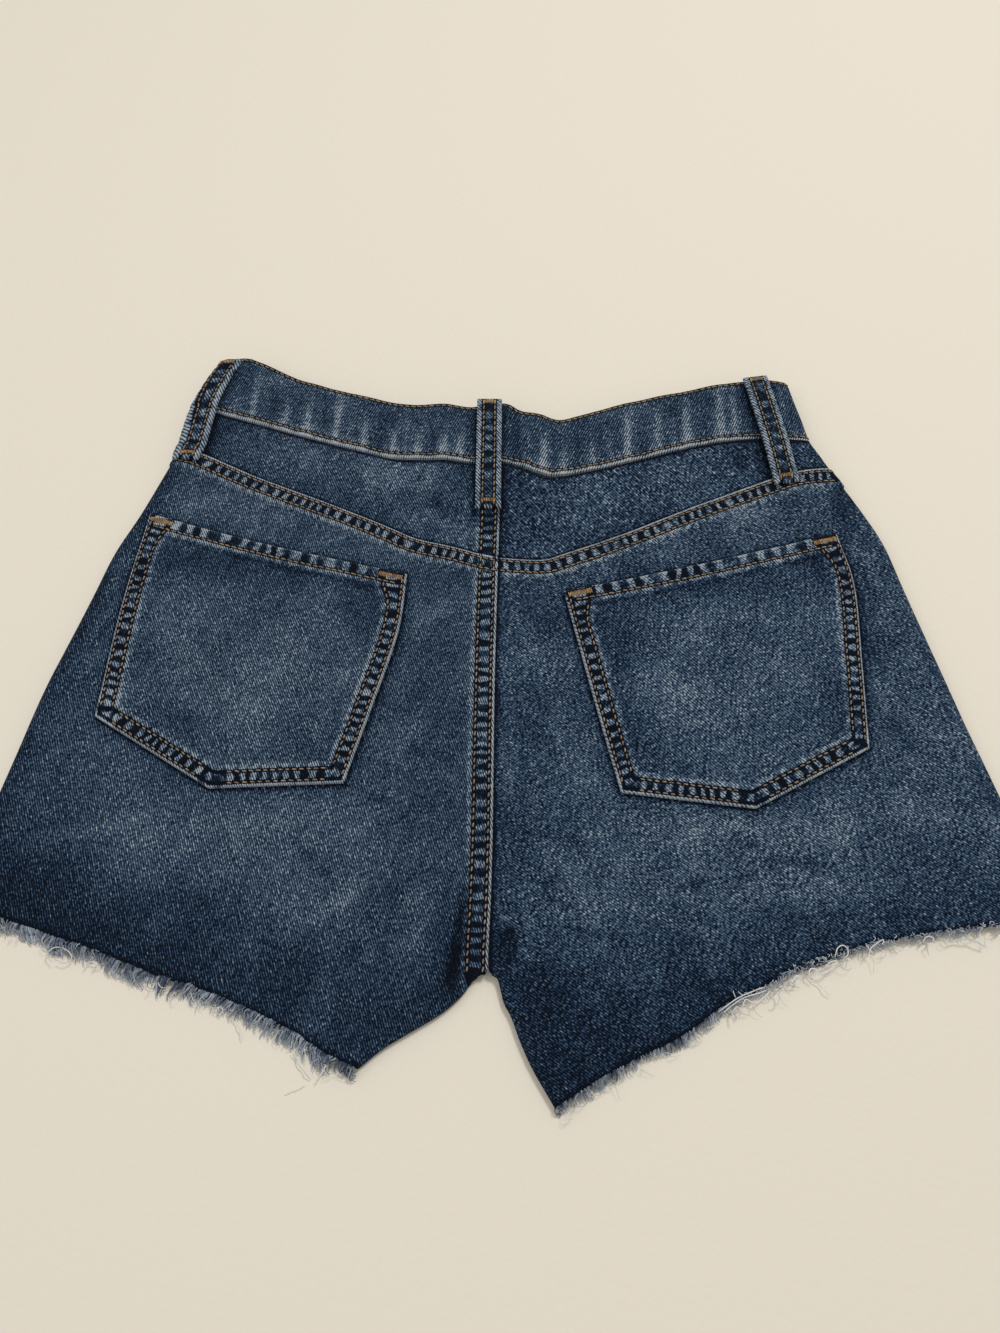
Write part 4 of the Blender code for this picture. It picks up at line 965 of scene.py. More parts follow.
def denim_cloth(name, base, ramp=INDIGO, coarse=1.0, lines=1.0):
    """Indigo twill: white weft flecks between dark warp, diagonal lines, worn edges and a ladder of
    puckers along its sewn rows, from the attributes of the piece. base is its overall paleness; coarse
    and lines say how strong its flecks and its twill lines are."""
    n = Nodes(name)
    cloth = n.attribute("weave")
    count, lane, strength = n.parts(n.attribute("seam"))
    tone = n.attribute("tone", "Fac")
    row = n.attribute("row", "Fac")
    across = n.parts(cloth)[0]
    wobble = n.noise(cloth, 0.18, 1.0)
    twill = n.math("SINE", n.total(n.times(across, 2 * math.pi / TWILL), n.times(wobble, 3.0)))
    flecks = n.noise(n.turned(cloth, 0, (1.3, 0.6)), 1.0, 1.0, 0.6)
    grain = n.noise(cloth, 1.12, 0.0)
    weft = n.noise(n.turned(cloth, 0, (1.04, 0.72)), 1.0, 0.0)
    weft = n.times(weft, n.total(n.times(twill, 0.3), 0.7))
    slubs = n.noise(n.turned(cloth, -42, (0.03, 0.9)), 1.0, 1.0)
    mottle = n.noise(cloth, 0.2, 1.0, 0.6)
    clouds = n.noise(cloth, 0.035, 2.0)
    uneven = n.noise(cloth, 0.13, 1.0)
    phase = n.total(n.times(count, 2 * math.pi), n.times(uneven, 4.0))
    blobs = n.total(n.math("SINE", phase), n.times(n.noise(cloth, 0.35, 1.0), 1.6))
    blobs = n.step(blobs, -0.7, 0.75)
    inside = n.step(n.math("ABSOLUTE", n.math("SUBTRACT", lane, 1.5)), 0.28, 0.6, 0.84, 0.3)
    depth = n.total(n.times(n.noise(cloth, 0.09, 1.0), 2.6), 1.0)
    blobs = n.times(n.times(blobs, inside), depth)
    ladder = n.times(strength, n.math("SUBTRACT", 0.27, blobs))
    # painted shade in the groove of each row of stitches and under its thread
    groove = n.step(row, 0.6, 1.05, -0.85, 0.0)
    pale = n.math("MAXIMUM", n.total(tone, ladder), 0.0)
    hatch = n.times(twill, n.total(n.times(pale, 0.4), 0.26 * lines))
    patchy = n.times(n.times(pale, n.noise(cloth, 0.3, 1.0)), 1.3)
    fibre = n.total(n.times(flecks, 0.15), n.times(grain, 0.74 * coarse),
                    n.times(weft, 0.95 * coarse), hatch, patchy)
    value = n.total(base, tone, fibre, n.times(slubs, 0.3), n.times(mottle, 0.32),
                    n.times(clouds, 0.4), ladder, groove)
    n.bump(n.total(n.times(twill, 0.1), n.times(flecks, 1.2)), 0.12, 0.6)
    return n.finish(n.ramp(value, ramp), roughness=0.9, specular_ior_level=0.1, sheen_weight=0.03,
                    sheen_roughness=0.5)


def sewing_thread(name, dark, pale):
    """Twisted cotton thread, dulled by washing."""
    n = Nodes(name)
    where = n.object_place()
    value = n.total(n.noise(where, 0.45, 2.0), n.times(n.noise(where, 3.0, 1.0), 0.8), 0.5)
    n.bump(n.noise(where, 5.0, 2.0), 0.15, 0.8)
    return n.finish(n.ramp(value, [(0.25, dark), (0.75, pale)]), roughness=0.7, sheen_weight=0.1)


def frayed_yarn(name, root, tip):
    """Cotton yarn whose colour goes from its root to its tip."""
    n = Nodes(name)
    where = n.object_place()
    value = n.total(n.attribute("tone", "Fac"), n.times(n.noise(where, 0.8, 2.0), 0.8))
    n.bump(n.noise(where, 4.0, 1.0), 0.2, 0.8)
    return n.finish(n.ramp(value, [(0.0, root), (1.0, tip)]), roughness=0.9, sheen_weight=0.15)


def old_metal(name, dark, pale, roughness):
    n = Nodes(name)
    where = n.object_place()
    value = n.total(n.noise(where, 0.5, 3.0), n.times(n.noise(where, 4.0, 2.0), 0.5), 0.5)
    n.bump(n.noise(where, 2.0, 3.0), 0.1, 0.4)
    return n.finish(n.ramp(value, [(0.3, dark), (0.7, pale)]), roughness=roughness, metallic=1.0)


INSIDE = [(0.0, (30, 42, 62)), (0.4, (78, 92, 110)), (0.7, (128, 140, 152)), (1.0, (196, 199, 200))]
denim = denim_cloth("denim", 0.42)
denim_right = denim_cloth("denim_right", 0.43, coarse=1.3, lines=0.65)
denim_inside = denim_cloth("denim_inside", 0.55, INSIDE)
topstitch = sewing_thread("topstitch_thread", (80, 66, 52), (168, 146, 116))
bartack_thread = sewing_thread("bartack_thread", (112, 78, 44), (206, 168, 112))
yarn = frayed_yarn("frayed_yarn", (34, 54, 84), (188, 199, 210))
white_yarn = frayed_yarn("white_yarn", (150, 158, 168), (232, 231, 226))
copper = old_metal("old_copper", (60, 38, 24), (150, 104, 66), 0.42)
brass = old_metal("zip_brass", (90, 66, 34), (170, 134, 78), 0.38)
CLOTH = (denim, denim_inside)
CLOTHS = {"left": CLOTH, "right": (denim_right, denim_inside)}

# ---------------------------------------------------------------- sewn edges of the back
FELL_ROWS = (1.9, 7.1)
yoke_fell = Seam(yoke_seam, 1, FELL_ROWS, FELL_RAISE, seed=0.4)
centre_fell = Seam(centre_back, 1, (2.1, 8.4), FELL_RAISE, between=0.8, seed=1.3)
yoke_above = Seam(yoke_seam, -1, (None, 0.1), between=0.2, beyond=0.22, reach=6.0, pucker=0.3,
                  pale=0.0, seed=0.4)
yoke_below_band = Seam(waist_bottom, 1, (None, 0.1), between=0.2, beyond=0.3, reach=8.0, pucker=0.35,
                       pale=0.0, seed=2.1)
band_low = Seam(waist_bottom, -1, (None, 2.6), between=0.1, beyond=0.3, reach=7.0, pucker=0.2,
                pale=0.64, pale_width=1.6, seed=2.1)
band_high = Seam(waist_top, 1, (None, 1.5), between=0.2, beyond=0.15, reach=6.0, pucker=0.12,
                 pale=0.2, pale_width=0.8, seed=3.2)

pieces, slots = {}, {}


def keep(item, slot, *nodes):
    """Rides the piece on the body, names its slot, and lets it stand for its nodes."""
    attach(item, "root")
    if nodes:
        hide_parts(*nodes)
    pieces[item.name], slots[item.name] = item, slot


def shade_and_unworn_beside_pocket(which, x, y):
    """How much darker the cloth is just outside a patch pocket, most on its right: painted shadow of the
    pocket's raised edge, and indigo left unworn beside it.
    """
    edges = POCKETS[which]
    outline = joined(Line(edges["top"]), Line(edges["right"]),
                     Line([edges["right"][-1], edges["point"]], 8),
                     Line([edges["point"], edges["left"][-1]], 8), Line(edges["left"][::-1]))
    along, away = outline.nearest(x, y)
    outside = np.maximum(-away, 0)
    on_right = bump(along / outline.length - 0.42, 0.14, 4)
    near, wide = 0.7 * bump(outside, 0.9), 0.05 * bump(outside, 5)
    return (near + wide + 0.14 * on_right * bump(outside, 3.5)) * (away < 0.3)


def shade_and_unworn_beside_loops(x, y):
    """How much darker the cloth is along a belt loop and below it, widest on the left of the right one: painted
    shadow of the loop, and indigo left unworn beside it.
    """
    total = np.zeros(np.shape(x))
    for top, bottom, widened_to in (((0, 276.5), (-0.5, 211), None), ((135.5, 292.5), (145.4, 227), 145),
                                    ((-141, 306), (-147, 243), None)):
        away = segment_distance(x, y, top, bottom)[0] - LOOP_WIDTH / 2
        wider = 1.0 + 0.6 * (x < widened_to) if widened_to else 1.0
        total = np.maximum(total, 0.34 * bump(np.maximum(away, 0), 2.6 * wider))
    return total


def shadow_beside_centre(x, y):
    """How much darker the right side's cloth is where the left side's laps over it: painted shadow of the
    lapping edge.
    """
    past = centre_back.nearest(x, y)[1]
    return 0.5 * bump(past, 1.2) + 0.1 * bump(past, 3.5)


def back_panel(sign, which):
    """A back panel from the yoke seam to the hem, with its felled top edge and, on the left, the
    felled edge of the centre-back seam."""
    outer_edge = part_of(side[sign], crossing(side[sign], yoke_seam) + TRIM, 1)
    seam = seam_edge(centre_back, sign, crossing(centre_back, yoke_seam), 0.995)
    inner_edge = joined(seam, seam_edge(inseam[sign], sign, 0.02, 1))
    top_line = half_of(yoke_seam, sign, -SEAM_GAP / 2)
    crotch = seam.length / inner_edge.length
    v = stations(PANEL_LENGTH, SEWN_INSETS, RAW_INSETS, BACK_STEP)
    beside_crotch = np.abs((v - crotch) * inner_edge.length) < 8
    v = np.sort(np.concatenate([v, v[beside_crotch] + 0.3 / PANEL_LENGTH]))
    leg_turn = smooth((v - crotch + 0.01) / 0.05)
    u = stations(PANEL_WIDTH, FOLD_INSETS, SEWN_INSETS if sign < 0 else FOLD_INSETS, BACK_STEP)
    edges = top_line, rightward(hem[sign]), *in_order(sign, outer_edge, inner_edge)
    plan = patch(*edges, u, v)
    if sign < 0:
        # below the crotch the inner edge folds under, so its columns go where those of a fold lie
        spread = np.linspace(FOLD_REACH, SEWN_INSETS[-1], len(SEWN_INSETS) - len(FOLD_INSETS) + 1)[1:]
        leg_insets = np.concatenate([FOLD_INSETS, spread])
        u_leg = np.concatenate([u[:-len(leg_insets)], 1 - leg_insets[::-1] / PANEL_WIDTH])
        plan += (patch(*edges, u_leg, v) - plan) * leg_turn[:, None, None]
    grids = layer(plan, drape, body_middle, DENIM, 1, GRAIN["back"][sign],
                  *in_order(sign, np.ones(len(v)), leg_turn),
                  (yoke_fell, centre_fell) if sign < 0 else (yoke_fell,), 0.0, WEAR_AND_SHADE, seed=1 + sign)
    x, y = plan[..., 0], plan[..., 1]
    from_hem = hem[sign].nearest(x, y)[1]
    grids.tone -= 0.14 * bump(from_hem, 24) + 0.55 * bump(from_hem, 1.5)
    # creases paler on their ridges with wear, darker in their troughs with painted shade
    grids.tone += crease_wear_and_shade(x, y)
    # painted shade along the side folds, deep on the left one, which faces away from the light
    grids.tone -= (0.22 if sign < 0 else 0.02) * bump(side_gap(x, y), 8)
    if sign > 0:
        # painted shadow of the centre seam's lapping edge
        grids.tone -= shadow_beside_centre(x, y)
    # painted shadow of the pocket's edge, and unworn indigo, just outside the pocket
    grids.tone -= shade_and_unworn_beside_pocket(which, x, y)
    return wall("denim_back_" + which, grids, CLOTHS[which], "b")


def yoke(sign, which):
    """A yoke between the waistband and the back panels; the left one carries the centre seam."""
    edge = part_of(side[sign], crossing(side[sign], waist_bottom) + TRIM,
                   crossing(side[sign], yoke_seam) - TRIM)
    seam = seam_edge(centre_back, sign, 0.0, crossing(centre_back, yoke_seam))
    v = stations(YOKE_DEPTH, YOKE_INSETS, YOKE_INSETS, 1.1)
    u = stations(PANEL_WIDTH, FOLD_INSETS, SEWN_INSETS if sign < 0 else FOLD_INSETS, 1.2)
    plan = patch(half_of(waist_bottom, sign, -SEAM_GAP / 2), half_of(yoke_seam, sign, SEAM_GAP / 2),
                 *in_order(sign, edge, seam), u, v)
    seams = (yoke_above, yoke_below_band)
    grids = layer(plan, drape, body_middle, DENIM, 1, GRAIN["yoke"][sign],
                  *in_order(sign, np.ones(len(v)), None), (centre_fell, *seams) if sign < 0 else seams, 0.0,
                  WEAR_AND_SHADE, seed=4 + sign, closer=CLOSENESS["yoke"][sign])
    x, y = plan[..., 0], plan[..., 1]
    # creases paler on their ridges with wear and darker in their troughs with painted shade; painted shadow and
    # unworn indigo beside the belt loops
    grids.tone += crease_wear_and_shade(x, y) - shade_and_unworn_beside_loops(x, y)
    from_band, from_seam = waist_bottom.nearest(x, y)[1], yoke_seam.nearest(x, y)[1]
    # painted shadow along the yoke seam's raised fold and under the waistband's lower edge
    grids.tone -= 0.65 * bump(from_seam, 0.9) + 0.08 * bump(from_seam, 5) + 1.1 * bump(from_band, 1.2)
    grids.tone -= 0.08 * bump(from_band, 5)
    if sign > 0:
        # painted shadow of the centre seam's lapping edge
        grids.tone -= shadow_beside_centre(x, y)
    return wall("denim_yoke_" + which, grids, CLOTHS[which])


def waistband_back():
    """The back waistband, drawn up in ripples, its ends folded over the sides."""
    left, right = (part_of(side[sign], 0.0, crossing(side[sign], waist_bottom)) for sign in (-1, 1))
    u = stations(BAND_LENGTH, FOLD_INSETS, FOLD_INSETS, 0.95)
    v = stations(BAND_DEPTH, RIM_INSETS, RIM_INSETS, 1.0)
    plan = patch(waist_top, waist_bottom.moved(0, SEAM_GAP / 2), left, right, u, v)
    full = np.ones(len(v))
    grids = layer(plan, band_lie, band_middle, BAND, 1, GRAIN["band"], full, full, (band_low, band_high),
                  level=-0.05, seed=7, closer=CLOSENESS["band"])
    x, y = plan[..., 0], plan[..., 1]
    from_edge = np.minimum(np.abs(waist_top.nearest(x, y)[1]), np.abs(waist_bottom.nearest(x, y)[1]))
    grids.outer[..., 2] -= 0.8 * rounding(from_edge, 1.1)
    share = up_the_band(x, y)
    lean = RIPPLE_LEAN * (share - 0.5)
    for at, width, _, pale, top in BAND_RIPPLES:
        grids.tone += RIPPLE_TONE * pale * bump(x - at - lean, width) * (1 - smooth(share / top - 0.4))
    # painted shadow of the belt loops, and unworn indigo beside them
    grids.tone -= shade_and_unworn_beside_loops(x, y)
    # darker still right of the left belt loop, towards the top: painted shadow of the loop, and unworn indigo
    grids.tone -= 0.18 * bump(x + 132, 12) * smooth(share)
    return wall("denim_waistband_back", grids, CLOTH)


for sign, which in SIDES:
    keep(back_panel(sign, which), "denim", "back_" + which)
    keep(yoke(sign, which), "denim", "yoke_" + which)
keep(waistband_back(), "denim_band", "waistband_back")


# ---------------------------------------------------------------- patch pockets
class PocketEdges:
    """Edges of a patch pocket and their sewn seams."""

    def __init__(self, which, seed):
        edges = POCKETS[which]
        point = np.array(edges["point"], float)
        self.top = Line(edges["top"])
        self.left, self.right = Line(edges["left"], 12), Line(edges["right"], 12)
        self.low_left = Line([self.left.at(1), point], 8)
        self.low_right = Line([point, self.right.at(1)], 8)
        self.around = [Seam(line, turn, POCKET_ROWS, POCKET_RAISE, bend=bend, seed=seed + order)
                       for order, (line, turn, bend) in enumerate((
                           (self.left, -1, ROW_BEND), (self.right, 1, ROW_BEND),
                           (self.low_left, -1, None), (self.low_right, -1, None)))]
        self.hem = Seam(self.top, 1, (None, POCKET_HEM_ROW), POCKET_RAISE, width=6.8, between=0.85,
                        beyond=0.8, reach=4.0, pale=0.3, seed=seed + 4, pitch=8.0)
        self.seams = (self.hem, *self.around)


def pocket(which, edges, seed):
    """A patch pocket with its turned-in edges, lying on its back panel."""
    u, v = (stations(size, SEWN_INSETS, SEWN_INSETS, 1.15) for size in POCKET_SIZE)
    knee = edges.low_left.length / (edges.low_left.length + edges.low_right.length)
    u[np.argmin(np.abs(u - knee))] = knee
    plan = patch(edges.top, joined(edges.low_left, edges.low_right), edges.left, edges.right, u, v)
    x, y = plan[..., 0], plan[..., 1]
    grids = layer(plan, pocket_lie, None, POCKET, 1, GRAIN["pocket"][which], seams=edges.seams,
                  table=POCKET_WEAR_AND_SHADE, seed=seed, closer=CLOSENESS["pocket"][which])
    grids.inner[..., 2] = np.minimum(grids.inner[..., 2], back_height(x, y) + SEAM_GAP + 0.25)
    away = {seam: seam.read(x, y)[1] for seam in edges.seams}
    from_edge = np.min([np.abs(a) for a in away.values()], 0)
    inside = [np.abs(np.min([away[seam] - row for seam in edges.around], 0)) for row in POCKET_ROWS]
    grids.row = np.min(inside + [np.abs(away[edges.hem] - POCKET_HEM_ROW)], 0)
    grids.outer[..., 2] -= 0.6 * rounding(from_edge, 0.9)
    # paler along the turned edges with wear; creases paler on their ridges, with painted shade in their troughs
    grids.tone += 0.06 * bump(from_edge, 0.5) + CREASE_TONE * ridges(x, y, POCKET_CREASES)
    below_hem = away[edges.hem] - POCKET_HEM_ROW
    # paler over the hem and just below its row with wear; the dark line below that is painted shadow of the
    # hem's edge
    grids.tone += 0.1 * (below_hem < 0) + 0.2 * bump(below_hem - 1.1, 0.7) - 0.16 * bump(below_hem - 3.6, 1.5)
    return wall("denim_pocket_back_" + which, grids, CLOTHS[which])


pocket_edges = {"left": PocketEdges("left", 5.0), "right": PocketEdges("right", 11.0)}
for seed, (which, edges) in enumerate(pocket_edges.items(), 9):
    keep(pocket(which, edges, seed), "denim", "pocket_back_" + which)


# ---------------------------------------------------------------- belt loops
ACROSS = np.array([0, 0.12, 0.24, 0.32, 0.38, 0.43, 0.48, 0.54, 0.6, 0.7, 0.8, 0.88, 0.94, 0.98, 1.0])
ACROSS = np.concatenate([-ACROSS[:0:-1], ACROSS])


def side_profile(y, s, off):
    """Point on the left fold of the waistband and yoke, s along it from the silhouette, off its
    face."""
    x_edge = float(side[-1].x_at(y))
    top = float(skin(x_edge + FOLD_REACH, y))
    middle = (top + FRONT_BAND_LIFT) / 2
    quarter = math.pi / 2 * math.sqrt((FOLD_REACH**2 + (top - middle)**2) / 2)
    if s < quarter:
        a = math.pi / 2 * (1 - s / quarter)
        return (x_edge + FOLD_REACH * (1 - math.sin(a)) - off * math.sin(a), y,
                middle + (top - middle) * math.cos(a) + off * math.cos(a))
    x = x_edge + FOLD_REACH + s - quarter
    return (x, y, float(skin(x, y)) + off)


def over_band(top, bottom, stand_off):
    """Where a loop on the back lies: a function of the fraction along it, millimetres across it from
    its middle, and height above its underside."""
    top, bottom = np.array(top, float), np.array(bottom, float)
    along = (bottom - top) / np.hypot(*(bottom - top))
    across = np.array([-along[1], along[0]])
    knots = np.linspace(0, 1, 13)
    heights = []
    for t in knots:
        middle = top + (bottom - top) * t
        under = [middle + across * s * LOOP_WIDTH / 2 + along * d
                 for s in (-1, -0.5, 0, 0.5, 1) for d in (-2.8, 0, 2.8)]
        heights.append(max(float(skin(*spot)) for spot in under) + SEAM_GAP + 0.15
                       + stand_off * math.sin(math.pi * t)**0.8)
    drawn_length = 60         # of the loop, so that its rise bends smoothly
    rise = Line(np.stack([knots * drawn_length, heights], 1), 8)

    def at(t, s, off):
        x, y = top + (bottom - top) * t + across * s
        return (x, y, float(rise.y_at(t * drawn_length)) + off)
    return at


def over_side(t, s, off):
    """The same for the left loop, which bends over the side fold."""
    y = SIDE_LOOP["top"] + (SIDE_LOOP["bottom"] - SIDE_LOOP["top"]) * t
    lift = SEAM_GAP + 0.5 + SIDE_LOOP["stand_off"] * math.sin(math.pi * t)
    lean = SIDE_LOOP["lean"] * t**1.5
    return side_profile(y, s + LOOP_WIDTH / 2 + 0.2 + lean, lift + off)


def under_band(x):
    """The same for a loop under the front waistband, whose outer face lies on the ground."""
    top = float(front_waist(x)) - 0.6
    bottom = float(front_waist(x, FRONT_BAND_HEIGHT)) + 1.0

    def at(t, s, off):
        return (x - s, top + (bottom - top) * t, max(LOOP - off, 0))
    return at


def belt_loop(node, at, length, seed, bars=(), dull=0.0):
    """A belt loop: a folded strip with two rows of stitches, a bar tack at each end."""
    name = "denim_" + node
    rows = np.linspace(0, 1, int(length / 0.9))
    half = LOOP_SHOWN / 2
    outer, inner = [], []
    for t in rows:
        drop = 0.7 * rounding(min(t, 1 - t) * length, 1.2)
        beat = math.sin(2 * math.pi * (t * length / PUCKER + 0.3 * math.sin(t * 9 + seed)))
        outer_row, inner_row = [], []
        for share in ACROSS:
            s = share * half
            edge = max(abs(share) - 0.84, 0) / 0.16
            turned = 0.65 * (1 - math.sqrt(1 - min(edge, 1)**2))
            groove = GROOVE * bump(abs(s) - LOOP_ROW, 0.45)
            swelling = 0.12 * beat * smooth((abs(s) - 1) / 2) + 0.12 * math.cos(share * math.pi / 2)
            outer_row.append(at(t, s, LOOP - turned - groove + swelling - drop))
            inner_row.append(at(t, s, 0.25 * edge))
        outer.append(outer_row)
        inner.append(inner_row)
    outer, inner = np.array(outer), np.array(inner)
    across = np.broadcast_to(ACROSS * half, outer.shape[:2])
    s_mm = np.abs(across)
    t_mm = np.broadcast_to((rows * length)[:, None], outer.shape[:2])
    count = t_mm / LOOP_PUCKER + 0.3 * np.sin(t_mm / 7 + seed) + seed
    marks = np.dstack([count, np.full(s_mm.shape, 1.5), np.where(s_mm > LOOP_ROW, 0.0, 0.6)])
    ends = np.minimum(t_mm, length - t_mm)
    tone = (0.36 * smooth((s_mm - LOOP_ROW - 0.7) / 0.8) - dull - 0.05 + 0.25 * bump(ends, 1.0)
            - 0.14 * bump(ends - 7, 3))
    grids = Grids(outer, inner, marks, tone, np.abs(s_mm - LOOP_ROW),
                  weave(across, -t_mm, GRAIN["loop"], seed, CLOSENESS["loop"]),
                  (LOOP_SHOWN * MM, length * MM, LOOP_SHOWN * length * MM**2))
    keep(wall(name, grids, CLOTH), "denim_band", node)

    def drawn(places, sink):
        """Points of a line of thread sunk into the loop's face, and the way up from them."""
        path = np.array([at(t, s, LOOP - sink) for t, s in places])
        return path, unit(np.array([at(t, s, LOOP + 1) for t, s in places]) - path)
    fine = np.linspace(0.015, 0.985, int(length / 0.6))
    for s in (-LOOP_ROW, LOOP_ROW):
        sewn_rows[name].append((*drawn([(t, s) for t in fine], GROOVE), LONG_STITCH))
    for t, reach in bars:
        bar = [(t, s) for s in np.linspace(-reach, reach, 9)]
        sewn_tacks[name].append((*drawn(bar, THREAD_SINK), reach))


# ---------------------------------------------------------------- threads
UP = np.array([0, 0, 1.0])
sewn_rows, sewn_tacks = defaultdict(list), defaultdict(list)


def tubes(name, centres, ups, radii, sides, look, tone=None):
    """Joined tubes: centres holds tube, station and place; radii one number for each station."""
    along = unit(np.gradient(centres, axis=1))
    across = unit(np.cross(along, ups))
    above = np.cross(across, along)
    angles = np.linspace(0, 2 * math.pi, sides, endpoint=False)
    radii = np.broadcast_to(radii, centres.shape[:2])[..., None, None]
    rings = (centres[:, :, None] + radii * (np.cos(angles)[:, None] * across[:, :, None]
                                            + np.sin(angles)[:, None] * above[:, :, None]))
    tubes_made, stations_made = centres.shape[:2]
    index = np.arange(tubes_made * stations_made * sides).reshape(tubes_made, stations_made, sides)
    after = np.roll(index, -1, 2)
    quads = np.stack([index[:, :-1], index[:, 1:], after[:, 1:], after[:, :-1]], -1).reshape(-1, 4)
    faces = quads.tolist() + index[:, 0].tolist() + index[:, -1, ::-1].tolist()
    item = mesh_object(name, rings.reshape(-1, 3), faces, (look,))
    if tone is not None:
        tone = np.broadcast_to(tone, centres.shape[:2]).ravel()
        add_attribute(item, "tone", "FLOAT", np.repeat(tone, sides))
    return item


def surface(face, seams=(), middle=None):
    """Height of a piece's outer face, with its seams and its turn round the side folds."""
    def top(x, y):
        gap = side_gap(x, y)
        x_in = x + np.where(x < 0, 1, -1) * np.maximum(FOLD_REACH - gap, 0) if middle else x
        z = face(x_in, y) + sewn(np.atleast_2d(x_in), np.atleast_2d(y), seams)[0].reshape(np.shape(x))
        if middle is None:
            return z
        half = middle(x_in, y)
        turned = np.sqrt(1 - np.clip(1 - gap / FOLD_REACH, 0, 0.98)**2)
        return np.where(gap < FOLD_REACH, half + (z - half) * turned, z)
    return top


def row_on(line, top, up=1, shown=LONG_STITCH):
    """Points along a line drawn on a surface, the surface's normals there and the length of its stitches."""
    p = line.at(np.linspace(0, 1, max(8, int(line.length / 0.6))))
    x, y, e = p[:, 0], p[:, 1], 0.25
    slope_x = (top(x + e, y) - top(x - e, y)) / (2 * e)
    slope_y = (top(x, y + e) - top(x, y - e)) / (2 * e)
    normals = up * np.stack([-slope_x, -slope_y, np.ones(len(x))], 1)
    return np.column_stack([p, top(x, y)]), unit(normals), shown


def kept(line, test):
    """The stretch of a line whose points pass a test."""
    return Line(line.points[test(line.points[:, 0], line.points[:, 1])], 1)


def lengths_along(path):
    """Length of a path up to each of its points."""
    return np.concatenate([[0], np.cumsum(np.linalg.norm(np.diff(path, axis=0), axis=1))])


def read_along(values, travelled, lengths):
    """What a path's values are at some lengths along it."""
    return np.stack([np.interp(lengths, travelled, values[:, k]) for k in range(3)], -1)


def sew(name, slot, rows, draw, lift):
    """Every stitch of a piece's rows, sunk at both ends where its thread goes through the cloth."""
    shares = np.array([-0.5, -0.36, 0, 0.36, 0.5])
    sink = np.array([-0.3, -0.04, 0.04, -0.04, -0.3])
    centres, ups = [], []
    for path, normals, shown in rows:
        travelled = lengths_along(path)
        count = int(travelled[-1] / STITCH)
        middles = (np.arange(count) + 0.5) * travelled[-1] / count + draw.normal(0, 0.08, count)
        lengths = middles[:, None] + shares * shown * draw.uniform(0.9, 1.08, count)[:, None]
        spots = read_along(path, travelled, lengths)
        above = read_along(normals, travelled, lengths)
        sideways = unit(np.cross(spots[:, -1] - spots[:, 0], above[:, 2]))
        skew = draw.normal(0.12, 0.07, count)[:, None] * shares * 2
        spots = spots + above * (lift + sink)[:, None] + sideways[:, None] * skew[..., None]
        centres.append(spots)
        ups.append(above)
    radii = THREAD * np.array([0.6, 0.95, 1.0, 0.95, 0.6])
    keep(tubes(name, np.vstack(centres), np.vstack(ups), radii, 6, topstitch), slot)


def tack(name, tacks, width, draw):
    """Bar tacks: short wraps side by side across each bar."""
    shares = np.array([-1, -0.7, 0, 0.7, 1])
    arch = np.array([-0.25, 0.18, 0.34, 0.18, -0.25])
    centres, ups = [], []
    for path, normals, _ in tacks:
        travelled = lengths_along(path)
        count = int(travelled[-1] / BAR_PITCH)
        at = np.linspace(0.1, travelled[-1] - 0.1, count)
        middle = read_along(path, travelled, at)
        above = read_along(normals, travelled, at)
        along = unit(np.gradient(middle, axis=0))
        over = np.cross(above, along)
        reach = width / 2 * draw.uniform(0.86, 1.1, count)
        lean = draw.normal(0.1, 0.06, count)
        centres.append(middle[:, None] + over[:, None] * (reach[:, None] * shares)[..., None]
                       + along[:, None] * (lean[:, None] * shares)[..., None]
                       + above[:, None] * arch[:, None])
        ups.append(np.repeat(above[:, None], 5, 1))
    radii = np.array([0.16, 0.22, 0.24, 0.22, 0.16])
    keep(tubes(name, np.vstack(centres), np.vstack(ups), radii, 5, bartack_thread), "denim")


def build_loops():
    bars = [(0.035, 3.1), (0.945, 3.3)]      # how far down the loop, half their width
    for name, (top, bottom, stand_off) in BACK_LOOPS.items():
        length = math.hypot(top[0] - bottom[0], top[1] - bottom[1])
        belt_loop(name, over_band(top, bottom, stand_off), length, len(name) % 7 + 0.5, bars)
    length = SIDE_LOOP["top"] - SIDE_LOOP["bottom"]
    belt_loop("loop_back_left", over_side, length, 5.5, bars, -0.03)
    for name, x in FRONT_LOOPS.items():
        belt_loop(name, under_band(x), FRONT_BAND_HEIGHT - 1.6, x / 40)


build_loops()


